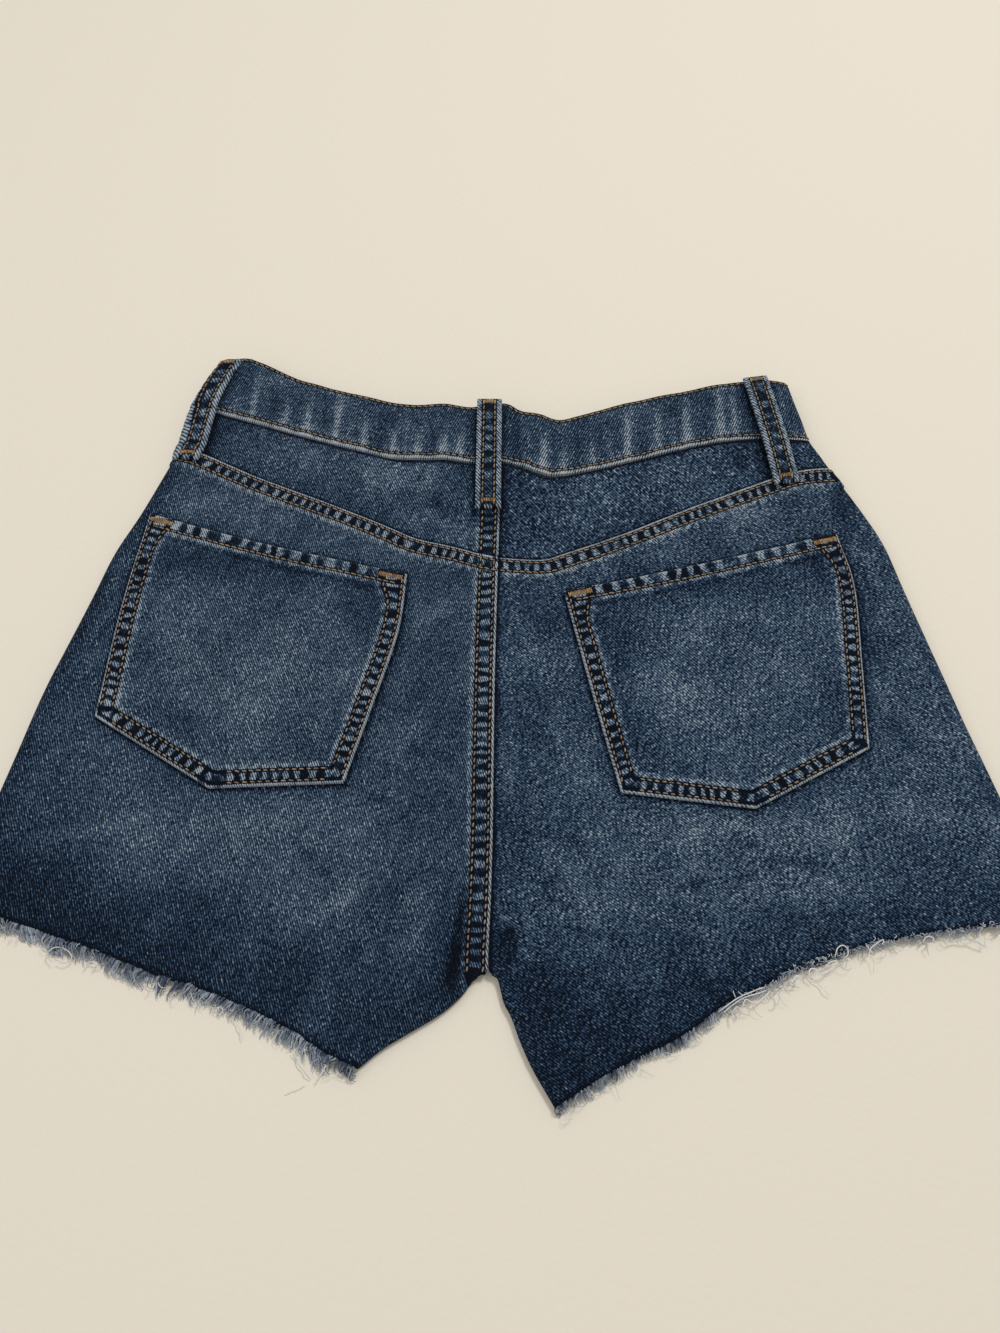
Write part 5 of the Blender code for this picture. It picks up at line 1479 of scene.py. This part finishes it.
def rows_of_the_back():
    """Rows of stitches of the waistband, yokes, panels and pockets."""
    band_top = surface(band_lie, (band_low, band_high), band_middle)
    for line in (waist_bottom.offset(-band_low.rows[1]), waist_top.offset(band_high.rows[1])):
        sewn_rows["denim_waistband_back"].append(row_on(line, band_top))
    left_top = surface(drape, (yoke_fell, centre_fell), body_middle)
    right_top = surface(drape, (yoke_fell,), body_middle)
    for distance in yoke_fell.rows:
        line = yoke_seam.offset(distance)
        on_left = kept(line, lambda x, y: x < centre_back.x_at(y) - 0.6)
        on_right = kept(line, lambda x, y: x > centre_back.x_at(y) + 0.6)
        sewn_rows["denim_back_left"].append(row_on(on_left, left_top))
        sewn_rows["denim_back_right"].append(row_on(on_right, right_top))
    yoke_top = surface(drape, (centre_fell, yoke_above, yoke_below_band), body_middle)
    for distance in centre_fell.rows:
        line = centre_back.offset(distance)
        on_yoke = kept(line, lambda x, y: y > yoke_seam.y_at(x) + 0.5)
        on_back = kept(line, lambda x, y: y < yoke_seam.y_at(x) - 0.3)
        sewn_rows["denim_yoke_left"].append(row_on(on_yoke, yoke_top, shown=SHORT_STITCH))
        sewn_rows["denim_back_left"].append(row_on(on_back, left_top, shown=SHORT_STITCH))
    for which, edges in pocket_edges.items():
        name = "denim_pocket_back_" + which
        top = surface(pocket_lie, edges.seams)
        for order in (0, 1):
            def inside(x, y):
                others = [other.read(x, y)[1] - other.rows[order] for other in edges.around]
                below = edges.hem.read(x, y)[1] - (1.2 if order == 0 else POCKET_HEM_ROW)
                return np.minimum(np.min(others, 0) + 0.08, below) > 0
            for seam in edges.around:
                sewn_rows[name].append(row_on(kept(seam.row(order), inside), top, shown=SHORT_STITCH))
        left, right = edges.around[:2]
        hem_line = kept(edges.hem.row(1),
                        lambda x, y: np.minimum(left.read(x, y)[1], right.read(x, y)[1]) > 1.4)
        sewn_rows[name].append(row_on(hem_line, top))
        middle = edges.top.at(0.5)
        for corner, turn in ((0, 1), (1, -1)):
            start = edges.top.at(corner)
            along = (middle - start) / np.hypot(*(middle - start))
            down = np.array([along[1], -along[0]]) * turn
            bar = Line([start + along * a + down * 2.7 for a in (1.7, 7, 12.6)], 4)
            sewn_tacks[name].append(row_on(bar, top))


rows_of_the_back()


# ---------------------------------------------------------------- the front, which lies on the ground
FRONT_CREASES = [
    (-30, 210, -110, 190, 6.0, 0.3), (30, 205, 100, 186, 6.0, 0.25), (-8, 96, -70, 70, 6.0, 0.3),
    (8, 98, 76, 84, 6.0, 0.3), (-20, 40, -90, 20, 7.0, 0.25), (20, 30, 110, 36, 7.0, 0.25),
    (-150, 120, -180, 60, 6.0, 0.25), (150, 150, 196, 70, 6.0, 0.25), (-110, 150, -120, 60, 9.0, 0.25),
    (110, 150, 120, 50, 9.0, 0.25)]
FRONT_FADES = [
    (-95, 90, 46, 60, 0.08), (100, 90, 46, 60, 0.08), (0, 20, 30, 40, -0.14), (-30, 200, 40, 24, 0.04),
    (40, 200, 40, 24, 0.04), (-60, 200, 60, 8, 0.05)]


def front_face(x, y):
    return front_lift(x, y) + np.maximum(ridges(x, y, FRONT_CREASES), 0)


def waist_line(start, end, count, drop=0.0, lift=0.0):
    """A line along the front waistband between two x, a given drop below its upper edge."""
    return Line([(x, float(front_waist(x, drop)) + lift) for x in np.linspace(start, end, count)], 2)


front_seam = waist_line(SIDE_LEFT[0][0] + BAND_END_LEFT[0] * FRONT_BAND_HEIGHT,
                        SIDE_RIGHT[0][0] + BAND_END_RIGHT[0] * FRONT_BAND_HEIGHT, 41, FRONT_BAND_HEIGHT)


def pocket_mouth(sign, shift):
    """Curved edge of a front pocket, from the waistband to the side, moved in by a shift."""
    x0 = POCKET_MOUTH_X[sign] - sign * shift
    y0 = float(front_waist(x0, FRONT_BAND_HEIGHT)) - SEAM_GAP
    y1 = POCKET_MOUTH_Y
    x1 = float(side[sign].x_at(y1))
    bend = (x0 + (x1 - x0) * 0.12, y1 + (y0 - y1) * 0.35 - shift * 0.6)
    low = (x0 + (x1 - x0) * 0.5, y1 + (y0 - y1) * 0.06 - shift * 0.9)
    return Line([(x0, y0), bend, low, (x1, y1)])


def front_hem(sign):
    """Cut edge of the front of a leg: just inside the back's, but it shows below it on the right."""
    points = np.array(HEM_LEFT if sign < 0 else HEM_RIGHT, float)
    points[:, 1] += 1.2 - 3.2 * bump(points[:, 0] - 135, 22) * (sign > 0)
    points[0, 1] -= 1.0
    points[-1, 1] -= 1.2
    return Line(points)


def fly_rows():
    """The two curved rows of the fly, on the left front."""
    rows = []
    for inward in (0.0, 6.0):
        x = FLY_STITCH_X + inward
        y = float(front_waist(x, FRONT_BAND_HEIGHT)) - 1
        low = FLY_BOTTOM + 10 + inward
        rows.append(Line([(x, y), (x, low + 42), (x + 3, low + 22), (x + 14 - inward * 0.4, low + 6),
                          (FLY_EDGE_X - 3, low - 2)]))
    return rows


def front_panel(sign, which):
    """A front panel with its curved pocket mouth; the right one passes under the left at the fly."""
    mouth = pocket_mouth(sign, 0.0)
    fly_x = FLY_EDGE_X if sign < 0 else -FLY_UNDERLAP
    along_band = waist_line(fly_x, POCKET_MOUTH_X[sign], 14, FRONT_BAND_HEIGHT, -SEAM_GAP)
    fly_top = (fly_x, float(along_band.at(0)[1]))
    beside = 1.4 * SEAM_GAP
    if sign < 0:
        corners = [fly_top, (fly_x, 60), (1.6, 30), (0.5 - SEAM_GAP / 2, 3)]
    else:
        corners = [fly_top, (fly_x, 160), (fly_x, FLY_BOTTOM + 12), (FLY_EDGE_X + beside, FLY_BOTTOM - 6),
                   (FLY_EDGE_X + beside, 60), (1.6 + beside, 30), (0.5 + SEAM_GAP / 2, 3)]
    seam = Line(corners, 6)
    centre = joined(seam, seam_edge(inseam[sign], sign, 0.02, 1))
    outer_edge = part_of(side[sign], nearest_fraction(side[sign], mouth.at(1)), 1)
    bottom = front_hem(sign)
    v = stations(FRONT_LENGTH, RAW_INSETS, RAW_INSETS, FRONT_STEP)
    u = stations(PANEL_WIDTH, FOLD_INSETS, FOLD_INSETS, FRONT_STEP)
    plan = patch(rightward(joined(along_band, mouth)), rightward(bottom),
                 *in_order(sign, outer_edge, centre), u, v)
    leg_turn = smooth((v - seam.length / centre.length + 0.008) / 0.05)
    mouth_sewn = Seam(mouth, sign, MOUTH_ROWS, between=0.8, beyond=0.3, seed=20.0 + sign)
    centre_sewn = Seam(seam, -sign, MOUTH_ROWS, between=0.8, beyond=0.2, seed=24.0 + sign)
    seams, shift = (mouth_sewn, centre_sewn), 0.0
    if sign > 0:
        above_fly_end = smooth((plan[..., 1] - FLY_BOTTOM + 24) / 12)
        over_left_front = smooth((12.0 - plan[..., 0]) / 7.0)
        seams, shift = (mouth_sewn,), FLY_LAP * above_fly_end * over_left_front
    grids = layer(plan, front_face, body_middle, DENIM, -1, GRAIN["front"][sign],
                  *in_order(sign, np.ones(len(v)), leg_turn), seams, shift, FRONT_FADES,
                  seed=15 if sign < 0 else 16)
    hem_gap = bottom.nearest(plan[..., 0], plan[..., 1])[1]
    grids.tone -= 0.10 * bump(hem_gap, 16) + 0.15 * bump(hem_gap, 1.6)
    name = "denim_front_" + which
    lines = [kept(mouth_sewn.row(row), lambda x, y: side_gap(x, y) > 1.5) for row in (0, 1)]
    if sign < 0:
        lines += fly_rows()
        lines += [kept(centre_sewn.row(row), lambda x, y: y < FLY_BOTTOM - 4) for row in (0, 1)]
    for line in lines:
        sewn_rows[name].append(row_on(line, front_face, -1))
    return wall(name, grids.flipped(), CLOTH, "b")


def pocket_facing(sign, which):
    """The facing that fills a front pocket's mouth, tucked under the edge of the front panel."""
    end = pocket_mouth(sign, 0).at(1) + (0, 0.4)
    tucked = Line(np.vstack([pocket_mouth(sign, TUCK).at(np.linspace(0, 0.9, 12)), end]), 2)
    band_end = front_seam.at(0 if sign < 0 else 1)
    along_band = waist_line(tucked.at(0)[0], band_end[0], 12, FRONT_BAND_HEIGHT, -SEAM_GAP)
    edge = part_of(side[sign], nearest_fraction(side[sign], along_band.at(1)),
                   nearest_fraction(side[sign], end))
    near, lower = part_of(tucked, 0.0, 0.5), part_of(tucked, 0.5, 1)
    v = np.linspace(0, 1, 26)
    u = stations(FACING_WIDTH, *in_order(sign, FOLD_INSETS, (0,)), FRONT_STEP)
    plan = patch(rightward(along_band), rightward(lower), *in_order(sign, edge, near), u, v)
    grids = layer(plan, front_lift, body_middle, FACING, -1, 30 * sign,
                  *in_order(sign, np.ones(len(v)), None), (), FACING_LAP, level=-0.06, seed=17 + sign)
    return wall("denim_pocket_facing_" + which, grids.flipped(), CLOTH)


def waistband_front(sign, which):
    """A front waistband; the right one's end passes under the left one's at the centre."""
    end_x = -sign * BAND_OVERLAP
    edge = part_of(side[sign], 0.0, nearest_fraction(side[sign], front_seam.at(0 if sign < 0 else 1)))
    tops = waist_line(end_x, edge.at(0)[0], 21)
    lows = waist_line(end_x, edge.at(1)[0], 21, FRONT_BAND_HEIGHT, SEAM_GAP / 2)
    end = Line([tops.at(0), lows.at(0)], 2)
    v = stations(FRONT_BAND_HEIGHT, RAW_INSETS, RAW_INSETS, 1.6)
    u = stations(FRONT_BAND_LENGTH, *in_order(sign, FOLD_INSETS, RAW_INSETS), 2.0)
    plan = patch(rightward(tops), rightward(lows), *in_order(sign, edge, end), u, v)
    top_sewn = Seam(tops, sign, (None, 1.8), between=0.2, beyond=0.15, seed=30.0 + sign)
    low_sewn = Seam(lows, -sign, (None, 2.4), between=0.2, beyond=0.25, seed=33.0 + sign)
    over_left_end = smooth((40 - plan[..., 0]) / 21) if sign > 0 else 0.0
    grids = layer(plan, band_under, band_middle, BAND, -1, GRAIN["front_band"][sign],
                  *in_order(sign, np.ones(len(v)), None), (top_sewn, low_sewn),
                  (BAND + SEAM_GAP) * over_left_end, seed=20 if sign < 0 else 21)
    name = "denim_waistband_front_" + which
    for seam in (top_sewn, low_sewn):
        shown = kept(seam.row(1), lambda x, y: (side_gap(x, y) > 1.5) & ((sign < 0) | (x > BAND_OVERLAP + 2)))
        sewn_rows[name].append(row_on(shown, band_under, -1))
    return wall(name, grids.flipped(), CLOTH)


def shank_button():
    """A domed button turned about its own axis, its face down."""
    y = float(front_waist(0.0, FRONT_BAND_HEIGHT / 2))
    profile = [      # radius, height
        (0.02, 0.55), (1.6, 0.5), (2.2, 0.3), (2.9, 0.3), (3.4, 0.6), (4.2, 0.45), (5.6, 0.12), (6.8, 0.1),
        (7.7, 0.25), (8.25, 0.55), (BUTTON_RADIUS, 0.95), (8.35, 1.25), (7.9, 1.45), (6.5, 1.6),
        (3.1, 1.65), (3.0, FRONT_BAND_LIFT)]
    sides = 72
    angles = [2 * math.pi * k / sides for k in range(sides)]
    points = [(r * math.cos(a), y + r * math.sin(a), z) for r, z in profile for a in angles]
    faces = [list(range(sides - 1, -1, -1)), list(range((len(profile) - 1) * sides, len(profile) * sides))]
    for start in range(0, (len(profile) - 1) * sides, sides):
        for k in range(sides):
            a, b = start + k, start + (k + 1) % sides
            faces.append([a, b, b + sides, a + sides])
    return mesh_object("button_copper", points, faces, (copper,))


for sign, which in SIDES:
    keep(front_panel(sign, which), "denim", "front_" + which)
    keep(pocket_facing(sign, which), "denim_facing", "pocket_facing_" + which)
    keep(waistband_front(sign, which), "denim_band", "waistband_front_" + which)
keep(shank_button(), "shank_button", "button")
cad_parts["zip"].data.materials.clear()
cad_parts["zip"].data.materials.append(brass)


# ---------------------------------------------------------------- frayed hems
def along_hem(line, outward, fractions):
    """Points of a cut edge, its direction and the direction away from the cloth."""
    middle = line.at(fractions)
    ahead = line.at(np.clip(fractions + 0.01, 0, 1)) - line.at(np.clip(fractions - 0.01, 0, 1))
    ahead /= np.hypot(*ahead.T)[:, None]
    return middle, ahead, np.stack([ahead[:, 1], -ahead[:, 0]], 1) * outward


def wavering(length, spacing, spread, draw):
    """A smoothly changing random value along a hem, as a function of the length."""
    knots = np.arange(-spacing, length + 2 * spacing, spacing)
    values = draw.normal(0, spread, len(knots))
    return lambda at: np.interp(at, knots, values)


def wandering(root, out, ahead, heading, length):
    """Plan points of yarns that go out from their roots and turn with their heading."""
    step = (length / (YARN_POINTS - 1))[:, None, None]
    walk = out[:, None] * np.cos(heading)[..., None] + ahead[:, None] * np.sin(heading)[..., None]
    return root[:, None] + np.cumsum(walk * step, 1)


def frayed(name, line, outward, height, rest, seed, kept_short):
    """The yarns of a cut edge, combed out of the cloth in wavy locks; on the right leg's outer half they
    are tangled, and shorter there by a share."""
    draw = np.random.default_rng(seed)
    count = int(line.length / FRINGE_PITCH)
    f = np.sort(draw.uniform(0.003, 0.997, count))
    at = f * line.length
    root, ahead, out = along_hem(line, outward, f)
    combed = root[:, 0] < 0
    tangle = smooth((root[:, 0] - 86) / 14)
    lean = np.where(combed, -0.75, 0.15) + wavering(line.length, 5.0, 0.3, draw)(at)
    lean += draw.normal(0, 1, count) * (0.14 + 0.8 * tangle)
    curl = np.where(combed, 1.5, 0.2) + wavering(line.length, 6.0, 0.5, draw)(at)
    curl += draw.normal(0, 1, count) * (0.3 + 2.6 * tangle)
    phase = wavering(line.length, 3.5, 1.5, draw)(at)
    length = FRINGE_LENGTH * (1 + wavering(line.length, 7.0, 0.15, draw)(at))
    length *= draw.uniform(0.6, 1.12, count)
    length *= (1 - kept_short * tangle) * np.where(combed, 1.25, 0.85)
    lift = np.abs(draw.normal(0.5, 0.4, count)) + 0.9 * tangle * draw.uniform(0, 1, count)
    t = np.linspace(0, 1, YARN_POINTS)
    heading = lean[:, None] + curl[:, None] * t + 0.45 * np.sin(7 * t + phase[:, None])
    plan = wandering(root - 0.8 * out, out, ahead, heading, length)
    start = np.maximum(height(root[:, 0], root[:, 1]), rest + 0.3)
    down = start[:, None] * (1 - smooth(t * 1.1)) + rest + lift[:, None] * np.sin(math.pi * t) + 0.25 * t
    radii = np.linspace(0.27, 0.14, YARN_POINTS) * draw.uniform(0.75, 1.25, count)[:, None]
    radii *= np.where(combed, 1.15, 0.85)[:, None]
    locks = wavering(line.length, 3.0, 0.16, draw)(at) + draw.normal(0, 0.16, count)
    tone = 0.1 + 0.6 * t + locks[:, None] + 0.3 * tangle[:, None]
    return tubes(name, np.dstack([plan, np.maximum(down, radii)]), UP, radii, 5, yarn, tone)


def fuzz(name, line, outward, height, rest, seed, count):
    """Thin white fibres that stick out of a frayed edge in every direction."""
    draw = np.random.default_rng(seed)
    f = np.sort(draw.uniform(0.01, 0.99, count))
    root, ahead, out = along_hem(line, outward, f)
    t = np.linspace(0, 1, YARN_POINTS)
    length = draw.uniform(2.5, 6.5, count)
    angle = draw.uniform(-1.3, 1.3, count)
    bend = draw.normal(0, 1.6, count)
    start = root + out * draw.uniform(-1.2, 4.0, count)[:, None]
    plan = wandering(start, out, ahead, angle[:, None] + bend[:, None] * t, length)
    base = np.maximum(height(root[:, 0], root[:, 1]), rest) + 0.5
    z = base[:, None] * (1 - 0.75 * t) + draw.uniform(0.2, 1.2, count)[:, None] * np.sin(2.6 * t)
    radii = np.linspace(0.15, 0.08, YARN_POINTS) * draw.uniform(0.7, 1.2, count)[:, None]
    tone = draw.uniform(0.2, 1.0, count)[:, None]
    return tubes(name, np.dstack([plan, np.maximum(z, rest + 0.2)]), UP, radii, 4, white_yarn, tone)


def back_edge(x, y):
    return back_height(x, y) - 0.7


def front_edge(x, y):
    return np.full(np.shape(x), 0.6)


for sign, which in SIDES:
    for seed, layer_name, line, height, rest, kept_short in (
            (45, "back_", hem[sign], back_edge, 0.7, 0.1),
            (46, "front_", front_hem(sign), front_edge, 0.05, 0.8)):
        item = frayed("fringe_yarns_" + layer_name + which, line, -sign, height, rest, seed + sign,
                      kept_short)
        keep(item, "frayed_yarn", "fringe_" + layer_name + which)
    keep(fuzz("fringe_fuzz_" + which, hem[sign], -sign, back_edge, 0.6, 50 + sign, 90), "frayed_yarn")


# loose weft threads, drawn out and tangled: the view in which their points were read, the points,
# the height of the plane they are placed on, the thread's own height and its radius. A view is the whole
# photograph or an enlargement of it: its corner in the photograph's pixels and its scale.
PHOTO = (0, 0, 1.0)
RIGHT_HEM = (700, 900, 5.227)
LEFT_HEM = (190, 920, 8.71)
LOOSE_THREADS = [
    (RIGHT_HEM, [(95, 585), (150, 545), (200, 510), (270, 480), (340, 455)], 3.5, 4.4, 0.26),
    (RIGHT_HEM, [(120, 590), (170, 550), (230, 510), (300, 490), (350, 470)], 3.5, 4.0, 0.24),
    (RIGHT_HEM, [(700, 300), (710, 260), (740, 240), (768, 262), (765, 290), (745, 305)], 3.5, 5.0, 0.26),
    (RIGHT_HEM, [(600, 420), (570, 395), (572, 365), (600, 362), (615, 385), (650, 385), (690, 350),
                 (715, 320), (680, 325), (650, 350)], 3.5, 4.4, 0.3),
    (RIGHT_HEM, [(570, 370), (585, 410), (630, 440), (655, 470), (690, 503)], 3.5, 1.4, 0.2),
    (RIGHT_HEM, [(175, 640), (170, 590), (190, 560), (212, 575), (205, 610)], 3.5, 3.8, 0.3),
    (RIGHT_HEM, [(870, 300), (885, 260), (910, 235), (950, 210), (945, 235)], 3.5, 4.8, 0.26),
    (RIGHT_HEM, [(860, 230), (880, 260), (900, 290)], 3.5, 4.6, 0.26),
    (RIGHT_HEM, [(1310, 215), (1370, 205), (1430, 215), (1500, 245)], 3.5, 3.6, 0.3),
    (RIGHT_HEM, [(380, 550), (410, 540), (415, 500), (390, 480)], 3.5, 3.4, 0.24),
    (RIGHT_HEM, [(470, 440), (500, 400), (520, 405), (510, 430), (480, 445)], 3.5, 4.0, 0.28),
    (RIGHT_HEM, [(1160, 225), (1180, 195), (1215, 200), (1210, 235)], 3.5, 4.4, 0.28),
    (RIGHT_HEM, [(220, 560), (240, 520), (290, 540), (330, 510), (360, 480)], 3.5, 3.8, 0.26),
    (LEFT_HEM, [(370, 850), (400, 930), (450, 1030), (450, 1060)], 1.0, 1.0, 0.16),
    (LEFT_HEM, [(890, 1150), (930, 1240), (1000, 1330), (1050, 1390)], 1.5, 1.6, 0.22),
    (LEFT_HEM, [(1200, 1250), (1160, 1320), (1110, 1400)], 2.0, 3.0, 0.28),
    (LEFT_HEM, [(260, 830), (290, 780), (260, 760), (250, 800)], 2.0, 2.4, 0.22),
    (LEFT_HEM, [(820, 1525), (880, 1500), (950, 1470), (1000, 1440)], 0.5, 0.5, 0.14),
    (PHOTO, [(52, 962), (46, 955), (55, 947), (66, 950), (72, 957), (64, 963), (56, 960)], 3.5, 3.2, 0.24),
    (PHOTO, [(83, 968), (88, 962), (96, 963), (93, 969)], 3.5, 3.0, 0.22)]


def seen_at(view, points, level):
    """Where the camera sees points of a view, on the plane at a level, to a tenth of a millimetre."""
    left, top, scale = view
    column, row = (np.array(points, float) / scale + (left, top)).T
    across, up = (column - PHOTO_WIDTH / 2) / FOCAL, (PHOTO_HEIGHT / 2 - row) / FOCAL
    sine, cosine = math.sin(math.radians(TILT)), math.cos(math.radians(TILT))
    reach = (CAMERA[2] - level) / (cosine - up * sine)
    x, y = CAMERA[0] + across * reach, CAMERA[1] + (sine + up * cosine) * reach
    return np.round(np.column_stack([x, y]), 1)


def loose_threads():
    draw = np.random.default_rng(77)
    t = np.linspace(0, 1, 48)
    centres, radii, tone = [], [], []
    for view, points, level, height, radius in LOOSE_THREADS:
        wave = 0.35 * np.sin(t * 17 + draw.uniform(0, 6)) + 0.3 * np.sin(t * 7.3 + draw.uniform(0, 6))
        route = Line(seen_at(view, points, level), 12).at(t)
        centres.append(np.column_stack([route, np.maximum(height + wave, radius)]))
        radii.append(radius * (1 - 0.35 * np.abs(2 * t - 1)**4))
        tone.append(np.full(len(t), draw.uniform(0.55, 1.0)))
    return tubes("loose_threads", np.array(centres), UP, np.array(radii), 6, white_yarn, np.array(tone))


keep(loose_threads(), "frayed_yarn")

draw = np.random.default_rng(7)
for piece, rows in sewn_rows.items():
    lift = -0.36 if piece.startswith("denim_front") else -0.15 if "loop_front" in piece else 0.2
    sew(piece.replace("denim", "stitches"), slots[piece], rows, draw, lift)
for piece, tacks in sewn_tacks.items():
    tack(piece.replace("denim", "tacks"), tacks, 2.5 if "pocket" in piece else 2.1, draw)

# what each piece of cloth lies on; the front lies on the ground
RESTS_ON = {
    "back_left": ("front_left", "front_right"), "back_right": ("front_right",),
    "yoke_left": ("front_left", "pocket_facing_left"), "yoke_right": ("front_right", "pocket_facing_right"),
    "waistband_back": ("waistband_front_left", "waistband_front_right"),
    "pocket_back_left": ("back_left",), "pocket_back_right": ("back_right",),
    "loop_back_centre": ("waistband_back", "yoke_left", "yoke_right"),
    "loop_back_left": ("waistband_back", "yoke_left"),
    "loop_back_right": ("waistband_back", "yoke_right"), "loop_front_left": (), "loop_front_right": (),
    "front_left": (), "front_right": ("front_left",), "pocket_facing_left": ("front_left",),
    "pocket_facing_right": ("front_right",), "waistband_front_left": ("loop_front_left", "button"),
    "waistband_front_right": ("waistband_front_left", "loop_front_right")}


def going_with(name):
    """The sewing and the frayed edges of a piece of cloth."""
    own = ["stitches_" + name, "tacks_" + name, "fringe_yarns_" + name]
    if name.startswith("back_"):
        own.append("fringe_fuzz_" + name[5:])
    if name == "back_right":
        own.append("loose_threads")
    return [pieces[other] for other in own if other in pieces]


for name, under in RESTS_ON.items():
    width, length, area = cuts["denim_" + name]
    below = ["denim_" + other if "denim_" + other in pieces else "button_copper" for other in under]
    pieces["denim_" + name]
    going_with(name)


# ---------------------------------------------------------------- floor, light, camera
def make_floor():
    n = Nodes("floor_cloth")
    where = n.object_place()
    n.bump(n.noise(where, 0.35, 3.0), 0.6, 0.35)
    look = n.finish(linear(228, 221, 207), roughness=0.95)
    mesh = bpy.data.meshes.new("floor")
    reach, depth = 3.0, -0.3 * MM
    mesh.from_pydata([(-reach, -reach, depth), (reach, -reach, depth), (reach, reach, depth),
                      (-reach, reach, depth)], [], [(0, 1, 2, 3)])
    mesh.materials.append(look)
    item = bpy.data.objects.new("floor", mesh)
    bpy.context.scene.collection.objects.link(item)
    item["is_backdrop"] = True


def area_light(name, location, size, power, colour):
    data = bpy.data.lights.new(name, "AREA")
    data.shape, data.size, data.energy, data.color = "DISK", size, power, colour
    item = bpy.data.objects.new(name, data)
    item.location = location
    item.rotation_euler = Vector(location).to_track_quat("Z", "Y").to_euler()
    bpy.context.scene.collection.objects.link(item)


def make_light_and_camera():
    world = bpy.data.worlds.new("studio")
    world.use_nodes = True
    background = world.node_tree.nodes["Background"]
    background.inputs["Color"].default_value = (1.0, 0.97, 0.92, 1)
    background.inputs["Strength"].default_value = 0.5
    bpy.context.scene.world = world
    area_light("key", (0.7, 0.8, 1.9), 0.5, 21.0, (1.0, 0.985, 0.96))
    area_light("fill", (-0.8, -0.2, 1.2), 1.2, 3.5, (0.97, 0.985, 1.0))
    view = bpy.context.scene.view_settings
    view.view_transform = "Standard"
    data = bpy.data.cameras.new("camera")
    data.sensor_width = 36.0
    data.lens = FOCAL * data.sensor_width / PHOTO_HEIGHT
    item = bpy.data.objects.new("camera", data)
    item.location = place(CAMERA)
    item.rotation_euler = (math.radians(TILT), 0, 0)
    bpy.context.scene.collection.objects.link(item)
    bpy.context.scene.camera = item


make_floor()
make_light_and_camera()

boxes = {name: [list(corner) for corner in box] for name, box in (("cad", cad_box), ("visual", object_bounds()))}
